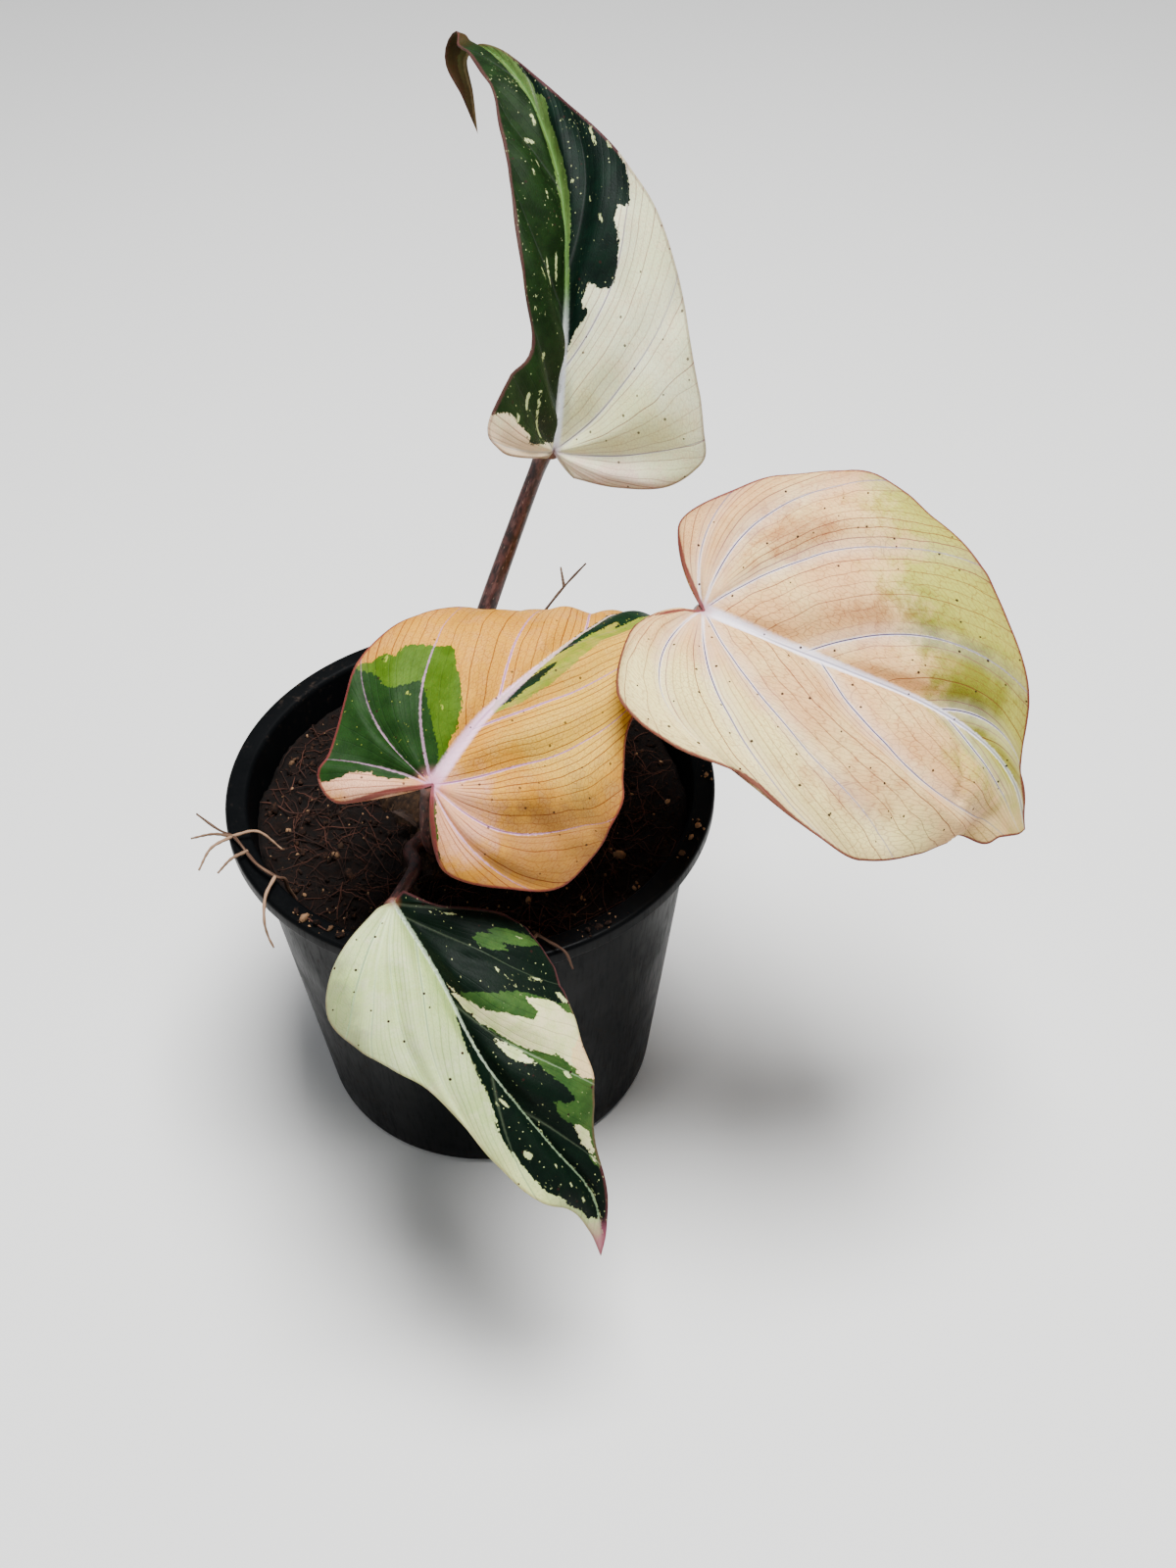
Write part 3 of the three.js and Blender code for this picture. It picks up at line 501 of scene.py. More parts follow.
def curve_points(points, places):
    """Points on a smooth curve through the given ones; place 2.5 is halfway from the third to the fourth."""
    points = np.asarray(points, float)
    padded = np.vstack([2 * points[0] - points[1], points, 2 * points[-1] - points[-2]])
    index = np.clip(np.floor(places).astype(int), 0, len(points) - 2)
    t = (places - index)[..., None]
    a, b, c, d = (padded[index + k] for k in range(4))
    second, third = 2 * a - 5 * b + 4 * c - d, 3 * b - a - 3 * c + d
    return 0.5 * (2 * b + (c - a) * t + second * t ** 2 + third * t ** 3)


def even_curve(points, count):
    """Points evenly spaced along the smooth curve, and its length."""
    last = len(points) - 1
    fine = curve_points(points, np.linspace(0, last, CURVE_STEPS * last + 1))
    walked = np.concatenate([[0], np.cumsum(np.linalg.norm(np.diff(fine, axis=0), axis=1))])
    wanted = np.linspace(0, walked[-1], count)
    return np.stack([np.interp(wanted, walked, fine[:, k]) for k in range(fine.shape[1])], -1), walked[-1]


def unit(vectors):
    """The same directions with length 1."""
    return vectors / np.linalg.norm(vectors, axis=-1, keepdims=True)


def line_distance(points, line, closed=False):
    """Distance from flat points to a line through the given corners."""
    corners = np.asarray(line, float)
    ends = np.roll(corners, -1, axis=0) if closed else corners[1:]
    nearest = np.full(len(points), 1e9)
    for start, end in zip(corners, ends):
        way = end - start
        share = np.clip((points - start) @ way / max(way @ way, 1e-12), 0, 1)
        nearest = np.minimum(nearest, np.linalg.norm(points - start - share[:, None] * way, axis=1))
    return nearest


def inside_distance(points, outline):
    """Distance to a closed outline, positive inside."""
    corners = np.asarray(outline, float)
    inside = np.zeros(len(points), bool)
    x, y = points[:, 0], points[:, 1]
    for (ax, ay), (bx, by) in zip(corners, np.roll(corners, -1, axis=0)):
        if ay == by:
            continue
        crosses = (ay > y) != (by > y)
        inside ^= crosses & (x < (bx - ax) * (y - ay) / (by - ay) + ax)
    return np.where(inside, 1, -1) * line_distance(points, outline, closed=True)


def ridge(distance, height, width):
    """A rounded ridge, highest where the distance is 0."""
    return height * np.exp(-(distance / width) ** 2)


def lumps(x, y, size, seed):
    """Soft random lumps between -1 and 1, about one to each size."""
    table = np.random.default_rng(seed).uniform(-1, 1, (LUMP_TABLE, LUMP_TABLE))
    u, v = x / size, y / size
    i, j = np.floor(u).astype(int), np.floor(v).astype(int)
    s, t = u - i, v - j
    s, t = s * s * (3 - 2 * s), t * t * (3 - 2 * t)
    i, after, j, above = (place % LUMP_TABLE for place in (i, i + 1, j, j + 1))
    low = table[i, j] * (1 - s) + table[after, j] * s
    high = table[i, above] * (1 - s) + table[after, above] * s
    return low * (1 - t) + high * t


def swelling(x, y, kinds):
    """Lumps of several kinds, each with a height, a size and a seed."""
    return sum(height * lumps(x, y, size, seed) for height, size, seed in kinds)


def soil_height(x, y):
    """The CAD soil's own height, with finer crumbly lumps."""
    east, north = x - SOIL_MOUND_CENTRE[0], y - SOIL_MOUND_CENTRE[1]
    mound = SOIL_MOUND * np.exp(-(east ** 2 + north ** 2) / SOIL_MOUND_SPREAD)
    waves = SOIL_LUMP * (np.sin(0.31 * x + 1.2) * np.cos(0.27 * y) + 0.6 * np.sin(0.55 * x - 0.4 * y))
    return SOIL_TOP + mound + waves + swelling(x, y, SOIL_LUMPS) - SOIL_DROP


# Meshes


class Shape:
    """Corners and faces in millimetres, with values for the materials. Corners that coincide are joined."""

    def __init__(self):
        self.points = []
        self.faces = []
        self.values = {}
        self.count = 0

    def add(self, points, faces, **values):
        """Add a chunk of corners and faces, with values for each corner."""
        self.points.append(np.asarray(points, float))
        self.faces += [[v + self.count for v in face] for face in faces]
        for key, value in values.items():
            self.values.setdefault(key, []).append(np.asarray(value, float))
        self.count += len(points)

    def piece(self, name, material, slot, replaces=()):
        """Make the Blender object, which rides on the frame's only body."""
        points = np.vstack(self.points)
        keys = np.round(points * JOIN_STEPS).astype(np.int64)
        _, first, joined = np.unique(keys, axis=0, return_index=True, return_inverse=True)
        joined = joined.ravel()
        faces, corners = [], []
        for face in self.faces:
            kept = [v for n, v in enumerate(face) if joined[v] != joined[face[n - 1]]]
            if len(kept) > 2:
                faces.append([int(joined[v]) for v in kept])
                corners += kept
        mesh = bpy.data.meshes.new(name)
        mesh.from_pydata((points[first] * MM).tolist(), [], faces)
        for key, chunks in self.values.items():
            value = np.concatenate(chunks)[corners]
            kind, field = ("FLOAT_VECTOR", "vector") if value.ndim == 2 else ("FLOAT", "value")
            layer = mesh.attributes.new(key, kind, "CORNER")
            layer.data.foreach_set(field, value.astype(np.float32).ravel())
        mesh.polygons.foreach_set("use_smooth", [True] * len(mesh.polygons))
        mesh.materials.append(material)
        made = bpy.data.objects.new(name, mesh)
        bpy.context.scene.collection.objects.link(made)
        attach(made, "root")
        if replaces:
            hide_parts(*replaces)
        return made


def grid_faces(rows, columns, flip=False, closed=False):
    """Quads of a grid of corners, row by row. A closed grid's last column joins its first."""
    faces = []
    for low in range(0, (rows - 1) * columns, columns):
        high = low + columns
        for j in range(columns if closed else columns - 1):
            k = (j + 1) % columns
            quad = [low + j, low + k, high + k, high + j]
            faces.append([quad[0], *quad[:0:-1]] if flip else quad)
    return faces


def lathe(shape, profile, segments):
    """Turn a profile of radius and height round the Z axis."""
    angle = np.linspace(0, 2 * np.pi, segments, endpoint=False)
    points = [(r * math.cos(a), r * math.sin(a), z) for r, z in profile for a in angle]
    shape.add(points, grid_faces(len(profile), segments, closed=True))


def rounded(profile, radius):
    """The profile with its corners rounded."""
    corners = np.asarray(profile, float)
    line = [corners[0]]
    for before, corner, after in zip(corners, corners[1:], corners[2:]):
        back, on = before - corner, after - corner
        cut = min(radius, 0.45 * np.linalg.norm(back), 0.45 * np.linalg.norm(on))
        start, end = corner + unit(back) * cut, corner + unit(on) * cut
        for t in np.linspace(0, 1, 5):
            line.append((1 - t) ** 2 * start + 2 * t * (1 - t) * corner + t * t * end)
    return np.array([*line, corners[-1]])


def divided(profile, longest):
    """The profile with long stretches divided."""
    line = [profile[0]]
    for start, end in zip(profile, profile[1:]):
        parts = max(1, math.ceil(np.linalg.norm(end - start) / longest))
        line += [start + (end - start) * k / parts for k in range(1, parts + 1)]
    return np.array(line)


def add_tube(shape, line, radii, sides, **values):
    """A closed round tube along a line. It keeps the way round and the distance walked as values."""
    line = np.asarray(line, float)
    onward = unit(np.gradient(line, axis=0))
    across = np.cross(onward[0], (0.3, 0.5, 0.81))
    rings = []
    for point, way, radius in zip(line, onward, radii):
        across = unit(across - way * (across @ way))
        other = np.cross(way, across)
        angle = np.linspace(0, 2 * np.pi, sides, endpoint=False)[:, None]
        rings.append(point + radius * (np.cos(angle) * across + np.sin(angle) * other))
    count = len(line)
    points = np.vstack([*rings, line[:1], line[-1:]])
    faces = grid_faces(count, sides, closed=True)
    low, high = count * sides, count * sides + 1
    for s in range(sides):
        n = (s + 1) % sides
        faces.append([low, n, s])
        faces.append([high, (count - 1) * sides + s, (count - 1) * sides + n])
    walked = np.concatenate([[0], np.cumsum(np.linalg.norm(np.diff(line, axis=0), axis=1))])
    turn = np.tile(np.linspace(0, 2 * np.pi, sides, endpoint=False), count)
    wrap = np.stack([np.cos(turn), np.sin(turn), np.repeat(walked, sides)], -1)
    wrap = np.vstack([wrap, [(0, 0, 0)], [(0, 0, walked[-1])]])
    share = np.concatenate([np.repeat(walked / walked[-1], sides), [0, 1]])
    values = {key: np.full(len(points), value) for key, value in values.items()}
    shape.add(points, faces, wrap=wrap, share=share, **values)


# Shaders


class Value:
    """A shader socket that can be added, multiplied and compared like a number."""

    def __init__(self, shader, socket):
        self.shader = shader
        self.socket = socket

    def __add__(self, other):
        return self.shader.math("ADD", self, other)

    def __sub__(self, other):
        return self.shader.math("SUBTRACT", self, other)

    def __rsub__(self, other):
        return self.shader.math("SUBTRACT", other, self)

    def __mul__(self, other):
        return self.shader.math("MULTIPLY", self, other)

    def __truediv__(self, other):
        return self.shader.math("DIVIDE", self, other)

    def __rtruediv__(self, other):
        return self.shader.math("DIVIDE", other, self)

    def __abs__(self):
        return self.shader.math("ABSOLUTE", self)

    def __lt__(self, other):
        return self.shader.math("LESS_THAN", self, other)

    def __gt__(self, other):
        return self.shader.math("GREATER_THAN", self, other)

    __radd__ = __add__
    __rmul__ = __mul__


class Shader:
    """A material under construction. Its colour is painted one layer over another."""

    def __init__(self, name, **constants):
        self.material = bpy.data.materials.new(name)
        self.material.use_nodes = True
        self.tree = self.material.node_tree
        self.surface = self.tree.nodes["Principled BSDF"]
        self.colour = None
        for socket, value in constants.items():
            self.surface.inputs[socket.replace("_", " ")].default_value = value

    def node(self, kind, settings=(), inputs=()):
        """A node of a type, with its settings made first and then its sockets filled."""
        made = self.tree.nodes.new(kind)
        for key, value in dict(settings).items():
            setattr(made, key, value)
        for key, value in dict(inputs).items():
            self.fill(made.inputs[key], value)
        return made

    def fill(self, socket, value):
        """Link a value to a socket, or set a number, vector or colour on it."""
        if isinstance(value, Value):
            self.tree.links.new(value.socket, socket)
        elif socket.type == "RGBA":
            socket.default_value = (*value[:3], 1)
        else:
            socket.default_value = value

    def math(self, operation, *values):
        """The result of a sum or another operation on values."""
        made = self.node("ShaderNodeMath", {"operation": operation}, enumerate(values))
        return Value(self, made.outputs[0])

    def attribute(self, name, output="Fac"):
        """A value that the mesh carries."""
        made = self.node("ShaderNodeAttribute", {"attribute_name": name})
        return Value(self, made.outputs[output])

    def position(self):
        """The place on the piece, in metres."""
        return Value(self, self.node("ShaderNodeTexCoord").outputs["Object"])

    def step(self, value, low, high, first=0.0, last=1.0):
        """From first to last as value goes from low to high, softly."""
        inputs = {"Value": value, "From Min": low, "From Max": high, "To Min": first, "To Max": last}
        made = self.node("ShaderNodeMapRange", {"interpolation_type": "SMOOTHSTEP"}, inputs)
        return Value(self, made.outputs["Result"])

    def mix(self, share, first, second):
        """From the first colour to the second."""
        made = self.node("ShaderNodeMix", {"data_type": "RGBA"}, {0: share, 6: first, 7: second})
        return Value(self, made.outputs[2])

    def paint(self, share, colour):
        """Lay a colour over what is painted so far."""
        self.colour = self.mix(share, self.colour, colour)

    def stretch(self, vector, x, y, z):
        """A vector with each of its parts multiplied."""
        made = self.node("ShaderNodeVectorMath", {"operation": "MULTIPLY"}, {0: vector, 1: (x, y, z)})
        return Value(self, made.outputs[0])

    def join(self, x, y, z=0.0):
        """A vector made of its parts."""
        return Value(self, self.node("ShaderNodeCombineXYZ", (), {0: x, 1: y, 2: z}).outputs[0])

    def split(self, vector):
        """The three parts of a vector."""
        made = self.node("ShaderNodeSeparateXYZ", (), {0: vector})
        return [Value(self, output) for output in made.outputs]

    def streaks(self, vector, across, along, detail=3.0, rough=0.55):
        """Noise that is drawn out along a piece."""
        return self.noise(self.stretch(vector, across, across, along), 1.0, detail, rough)

    def noise(self, vector, scale, detail=3.0, rough=0.55):
        """Cloudy noise between 0 and 1."""
        inputs = {"Vector": vector, "Scale": scale, "Detail": detail, "Roughness": rough}
        made = self.node("ShaderNodeTexNoise", (), inputs)
        return Value(self, made.outputs["Fac"])

    def cells(self, vector, scale, feature="F1"):
        """Distance in each random cell, and a random number for the cell."""
        settings = {"feature": feature, "voronoi_dimensions": "2D"}
        made = self.node("ShaderNodeTexVoronoi", settings, {"Vector": vector, "Scale": scale})
        if feature == "DISTANCE_TO_EDGE":
            return Value(self, made.outputs["Distance"]), None
        return Value(self, made.outputs["Distance"]), self.split(Value(self, made.outputs["Color"]))[0]

    def chance(self, value):
        """A random number between 0 and 1 for each value."""
        made = self.node("ShaderNodeTexWhiteNoise", {"noise_dimensions": "1D"}, {"W": value})
        return Value(self, made.outputs["Value"])

    def finish(self, roughness=None, height=None, bump=0.1, depth=0.001):
        """Link what varies to the surface, and give back the material. The bump's depth is in metres."""
        self.fill(self.surface.inputs["Base Color"], self.colour)
        if roughness is not None:
            self.fill(self.surface.inputs["Roughness"], roughness)
        if height is not None:
            made = self.node("ShaderNodeBump", (), {"Strength": bump, "Distance": depth, "Height": height})
            self.fill(self.surface.inputs["Normal"], Value(self, made.outputs["Normal"]))
        return self.material


# Blades


class Blade:
    """A leaf blade: a midrib in space, and two flat halves that are bent onto it."""

    def __init__(self, plan):
        self.line, self.length = even_curve(plan["route"], MIDRIB_POINTS)
        self.ways = unit(np.gradient(self.line, axis=0))
        self.face = np.asarray(plan["face"], float)
        self.tip_face = np.asarray(plan.get("tip_face", plan["face"][1]), float)
        self.halves = plan["halves"]
        self.creases = plan["creases"]

    def frame(self, along):
        """Share, point, onward, up and across along the midrib. Past its end it runs straight on."""
        share = np.clip(along / self.length, 0, 1)
        at = np.linspace(0, 1, len(self.line))
        point, onward = (np.stack([np.interp(share, at, rows[:, k]) for k in range(3)], -1)
                         for rows in (self.line, self.ways))
        onward = unit(onward)
        point = point + onward * (along - share * self.length)[..., None]
        face = self.face[0] + (self.face[1] - self.face[0]) * share[..., None]
        face = face + (self.tip_face - face) * smooth(share, *TIP_TURN)[..., None]
        up = unit(face - onward * np.sum(face * onward, -1, keepdims=True))
        return share, point, onward, up, np.cross(onward, up)

    def bend(self, half, side, x, y, lift):
        """Places on the bent blade for places on the flat half, raised by lift."""
        share, point, _, up, across = self.frame(y)
        fold = np.radians(half["fold"][0] + (half["fold"][1] - half["fold"][0]) * share)
        curl = half["curl"][0] + (half["curl"][1] - half["curl"][0]) * share
        turn = np.radians(curl) / CURL_WIDTH
        edge = fold + turn * x
        reach = (np.sin(edge) - np.sin(fold)) / turn
        rise = (np.cos(fold) - np.cos(edge)) / turn
        lean = edge * np.clip(x / MIDRIB_ROUNDING, 0, 1)
        return (point + across * (side * (reach - lift * np.sin(lean)))[..., None]
                + up * (rise + lift * np.cos(lean))[..., None])

    def columns(self, half, starts, fan):
        """Vein number, outline place, start and bow of each column: a fan at the stalk, then the midrib."""
        table = np.array([(0, 0, 0.1), *half["veins"], (OUTLINE_LAST, LAST_START, 0)])
        numbers = np.arange(len(table))
        last_fan = int(np.sum(table[:, 1] < 1e-6)) - 1
        along = np.interp(starts, table[last_fan:, 1], numbers[last_fan:])
        number = np.concatenate([fan * last_fan, along])
        place = np.interp(number, numbers, table[:, 0])
        start = np.interp(number, numbers, table[:, 1]) * self.length
        bow = np.interp(number, numbers, table[:, 2])
        return number, place, start, bow

    def flat_grid(self, half, starts, fan, rows):
        """Flat places of a grid of corners, with vein numbers, reach and the veins' spacing."""
        number, place, start, bow = self.columns(half, starts, fan)
        end = curve_points(half["outline"], place)
        along = end[:, 1] - start
        control = np.stack([0.5 * end[:, 0] + bow * along, start + 0.5 * along - bow * end[:, 0]], -1)
        first = np.stack([0 * start, start], -1)
        length = np.linalg.norm(end - first, axis=1)
        hem = np.minimum(1, length / SHORT_VEIN)[:, None] * EDGE_ROWS / np.maximum(length, 0.1)[:, None]
        body = np.linspace(0, 1, rows)[None, :] ** ROW_RATE * (1 - 1.6 * hem[:, :1])
        reach = np.hstack([body, 1 - hem])
        v = reach[..., None]
        flat = (1 - v) ** 2 * first[:, None] + 2 * v * (1 - v) * control[:, None] + v * v * end[:, None]
        flat[..., 0] = np.maximum(flat[..., 0], 0)
        sideways = np.gradient(flat, number, axis=0)
        onward = unit(2 * (1 - v) * (control - first)[:, None] + 2 * v * (end - control)[:, None] + 1e-9)
        spacing = np.abs(sideways[..., 0] * onward[..., 1] - sideways[..., 1] * onward[..., 0])
        return flat, np.broadcast_to(number[:, None], reach.shape), reach, spacing

    def border(self):
        """The flat blade's whole edge, from the stalk round the tip and back."""
        places = np.linspace(0, OUTLINE_LAST, BORDER_POINTS)
        left, right = (curve_points(half["outline"], places) for half in self.halves)
        return np.vstack([[(0, 0)], right, left[::-1] * (-1, 1)])

    def shape(self, patches, flecks, look):
        """The whole blade as a closed thin body with values for its material."""
        shape = Shape()
        border = self.border()
        starts = np.concatenate([np.linspace(0, TIP_START, look.midrib_columns)[1:],
                                 np.linspace(TIP_START, LAST_START, TIP_COLUMNS)[1:]])
        fan = np.concatenate([FAN_START[:-1], np.linspace(FAN_START[-1], 1, look.fan_columns)])
        for half, side in zip(self.halves, (-1, 1)):
            flat, number, reach, spacing = self.flat_grid(half, starts, fan, look.rows)
            x, y = flat[..., 0], flat[..., 1]
            shown = np.stack([side * x, y], -1).reshape(-1, 2)
            hem = line_distance(shown, border, closed=True).reshape(x.shape)
            hem[:, -1] = 0
            hem[0, :] = 0
            relief, rib = self.relief(side, x, y, number, reach, spacing, look)
            round_edge = np.sqrt(1 - (1 - np.clip(hem / EDGE_ROUNDING, 0, 1)) ** 2)
            near_stalk = 1 - smooth(np.hypot(x, y), *STALK_REACH)
            thick = look.thickness / MM * (round_edge + (1 - round_edge) * near_stalk)
            upper = self.bend(half, side, x, y, relief + thick / 2)
            lower = self.bend(half, side, x, y, relief - thick / 2 - rib * round_edge)
            values = {"flat": np.hstack([shown, 0 * shown[:, :1]]), "vein": number.ravel(),
                      "reach": reach.ravel(), "spacing": spacing.ravel(), "hem": hem.ravel()}
            for patch, corners in patches.items():
                values[patch] = inside_distance(shown, corners)
            away = [line_distance(shown, line) - width for line, width in flecks]
            values["fleck"] = np.min([*away, np.full(len(shown), NO_FLECK)], axis=0)
            columns, rows = reach.shape
            upper_from = shape.count
            lower_from = upper_from + len(shown)
            for sheet, under in ((upper, 0), (lower, 1)):
                faces = grid_faces(columns, rows, flip=(side > 0) == (under == 1))
                for corner in (rows - 2, (columns - 2) * (rows - 1)):
                    a, b, c, d = faces[corner]
                    faces[corner] = [a, b, d]
                    faces.append([b, c, d])
                shape.add(sheet.reshape(-1, 3), faces, under=np.full(len(shown), under), **values)
            for j in range(rows - 1):
                strip = [upper_from + j, upper_from + j + 1, lower_from + j + 1, lower_from + j]
                shape.faces.append(strip if side < 0 else strip[::-1])
        return shape

    def relief(self, side, x, y, number, reach, spacing, look):
        """Height of the upper face, with puffs, grooves, waves and creases, and depth of the ribs below."""
        places = np.stack([side * x, y], -1).reshape(-1, 2)
        along = np.clip(y / self.length, 0, 1)
        from_vein = np.abs(number - np.round(number)) * spacing
        puff = np.clip(spacing / PUFF_SPACING, 0, 1.2) * smooth(x, 0, 5) * (1 - reach ** 3)
        puff = puff * np.sin(np.pi * (number % 1)) ** 2
        swell = swelling(side * x, y, SWELLS)
        groove = ridge(from_vein, *VEIN_GROOVE) * (1 - 0.7 * reach) * smooth(x, 0.5, 3)
        middle = ridge(x, *MIDRIB_GROOVE) * (1 - 0.6 * along)
        wave = reach ** 4 * np.sin(6 * number + 3 * side) * smooth(x, 1, 8)
        height = (look.quilt * puff + look.edge_wave * wave) / MM - groove - middle
        height = height + swell * smooth(x, 2, 9)
        for line, depth, width in self.creases:
            away = line_distance(places, line).reshape(x.shape)
            height = height + ridge(away, depth, width) * smooth(x, 0.5, 4)
        rib = ridge(x, *MIDRIB_RIB) * (1 - along) + VEIN_RIB * groove
        return height, rib

    def stalk_end(self):
        """Where the stalk bends in and ends under the blade."""
        _, point, onward, up, _ = self.frame(np.zeros(1))
        bend = point[0] - up[0] * STALK_LENGTH_UNDER_BLADE - onward[0] * STALK_LEAN_UNDER_BLADE
        return bend, point[0] - up[0] * STALK_INSET


# Materials


def blade_material(leaf):
    """A velvety blade: ground colours, patches, fine and main veins, flecks, hem and underside."""
    look = {key: hues(value) for key, value in LOOKS[leaf].items()}
    # Noise scales are for a millimetre of the flat blade
    s = Shader(f"{leaf}_blade", Subsurface_Weight=0.05, Subsurface_Scale=0.002, Specular_IOR_Level=0.08)
    flat = s.attribute("flat", "Vector")
    carried = ("vein", "reach", "spacing", "hem", "under")
    vein, reach, spacing, hem, under = (s.attribute(name) for name in carried)
    across, along, _ = s.split(flat)
    side = s.math("SIGN", across)
    cloud = s.noise(flat, 0.05, 3)
    mottle = s.noise(flat, 0.2, 5, 0.6)
    grain = s.noise(flat, 1.7, 3, 0.6)
    jag = s.noise(s.join(vein * 7, reach * 3, side * 4), 1.0, 3, 0.7)
    fray = s.noise(flat, 1.1, 3, 0.65)

    # Ground colours
    s.colour = s.mix(s.step(cloud, 0.38, 0.62), look["ground"][0], look["ground"][1])
    s.paint(s.step(mottle, 0.42, 0.7, 0, 0.7), look["ground"][2])
    # Tints: mostly the blades' own colours, but some are painted shade where a blade turns away from the
    # light or dips between puffs
    for patch, shade, soft, amount in look["tints"]:
        inside = s.attribute(patch) + (mottle - 0.5) * soft * 3
        s.paint(s.step(inside, -soft, soft, 0, amount), shade)
    s.paint(s.step(grain, 0.4, 0.7, 0, 0.16), look["strand"])

    # Fine veins run side by side between the main ones, with a mesh of finer ones
    strands = vein * look["strands"] + (s.noise(flat, 0.09, 1) - 0.5) * 0.8
    strand = s.math("ROUND", strands)
    between = abs(strands - strand)
    from_strand = between * spacing / look["strands"]
    strand_shade = s.step(from_strand, 0.06, 0.19, 1, 0) * s.step(spacing, 3, 9)
    strand_shade = strand_shade * (s.chance(strand + side * 50) * 0.75 + 0.25)
    mesh_edge, _ = s.cells(s.join(vein * look["strands"] * 1.7, reach * 46), 1.0, "DISTANCE_TO_EDGE")
    mesh_shade = s.step(mesh_edge, 0.02, 0.11, 1, 0) * s.step(spacing, 5, 14)
    mesh_shade = mesh_shade * s.step(mottle, 0.3, 0.6, 0.5, 1)
    s.paint(mesh_shade * look["mesh_strength"], look["strand"])
    s.paint(strand_shade * look["strand_strength"], look["strand"])

    # Patches
    dark = 0.0
    for patch, shade, second, darkness in look["patches"]:
        inside = s.attribute(patch) + (jag - 0.5) * 3 + (fray - 0.5) * 1.8
        mask = s.step(inside, -0.1, 0.1)
        patch_colour = s.mix(s.step(mottle, 0.35, 0.65), shade, second)
        deep = s.mix(0.5, patch_colour, (0.004, 0.01, 0.005))
        patch_colour = s.mix(strand_shade * 0.5 + mesh_shade * 0.25, patch_colour, deep)
        s.paint(mask, patch_colour)
        dark = dark * (1 - mask) + mask * darkness

    # Pale flecks in the dark patches
    fleck_noise = s.noise(s.stretch(flat, 2.3, 0.75, 1), 1.0, 2, 0.5)
    strength, level = look["flecks"]
    scattered = s.step(fleck_noise + (s.noise(flat, 0.07, 1) - 0.5) * 0.4, level, level + 0.02) * strength
    tiny_distance, tiny_chance = s.cells(flat, 0.55)
    tiny = (tiny_distance < 0.085) * (tiny_chance > 0.92) * strength
    placed = s.step(s.attribute("fleck") + (fray - 0.5) * 1.6, -0.1, 0.1, 1, 0)
    flecks = s.math("MAXIMUM", s.math("MAXIMUM", scattered, tiny) * dark, placed)
    s.paint(flecks * s.step(fray, 0.2, 0.6, 0.6, 1), look["fleck"])

    # Main veins and midrib, with a pale halo and a fine line in the middle
    from_vein = abs(vein - s.math("ROUND", vein)) * spacing
    not_notch = s.step(vein, 0.4, 0.6)
    halo_width = s.step(reach, 0, 0.9, *look["halo_width"])
    pale = 1 - dark * (1 - look["dark_vein"])
    fading = s.step(reach, 0.3, 0.95, 1, look["edge_vein"])
    band = s.step(from_vein + (mottle - 0.5) * 2, 0.5, 4.5, look["band"], 0) * not_notch
    s.paint(band * pale * fading, look["halo"])
    halo = s.step(from_vein + (fray - 0.5) * 0.7, halo_width * 0.15, halo_width, 1, 0) * not_notch
    s.paint(halo * pale * fading * look["halo_strength"], look["halo"])
    core = s.step(from_vein, 0.1, 0.24, 1, 0) * not_notch * s.step(spacing, 2, 8) * fading
    s.paint(core * pale * look["core_strength"], look["core"])
    near_width, far_width, narrowing = look["midrib_width"]
    middle_width = s.step(along, 0, narrowing, near_width, far_width)
    middle = s.step(abs(across) + (fray - 0.5) * 0.9, middle_width * 0.4, middle_width, 1, 0)
    middle = middle * s.step(along, -4, 1)
    near, far, change = look["midrib"]
    midrib = s.mix(s.step(along, change - 9, change + 9), near, far)
    s.paint(middle * look["midrib_strength"] * (pale * 0.4 + 0.6), midrib)
    middle_core = s.step(abs(across), 0.15, 0.4, 1, 0) * s.step(along, 10, 24)
    s.paint(middle_core * look["core_strength"] * 0.6 * pale, look["core"])

    # The tip
    shade, low, high, amount = look["tip"]
    s.paint(s.step(along + (mottle - 0.5) * 10, low, high, 0, amount), shade)

    # Where the veins meet, the stalk shows through
    shade, radius = look["heart"]
    heart = s.step(s.math("SQRT", across * across + along * along), 0.4, radius, 1, 0)
    s.paint(heart * 0.5, shade)

    # Specks, hem and underside
    speck_distance, speck_chance = s.cells(flat, 1 / 11)
    speck = (speck_distance < 0.03) * (speck_chance > 0.4)
    small_distance, small_chance = s.cells(flat, 1 / 7)
    speck = speck + (small_distance < 0.034) * (small_chance > 0.7)
    s.paint(s.math("MINIMUM", speck, 1.0) * look["speck_strength"], (0.02, 0.008, 0.006))
    rosy = s.step(hem + (mottle - 0.5) * 4, 0, 5, look["rosy"], 0) * (1 - dark)
    s.paint(rosy, look["hem"])
    s.paint(s.step(hem + (fray - 0.5) * 0.5, 0.4, 0.85, look["hem_strength"], 0), look["hem"])
    below = s.mix(0.45, s.colour, look["under"])
    below = s.mix((halo * 0.5 + middle * 0.6) * 0.8, below, look["under_vein"])
    s.paint(under, below)

    height = mottle * 0.3 + grain * 0.25 - strand_shade * 0.35 - mesh_shade * 0.2 - core * 0.5
    height = height + between * 0.25
    roughness = 0.54 + (grain - 0.5) * 0.2 + under * 0.08
    return s.finish(roughness, height, 0.35, 0.0004)


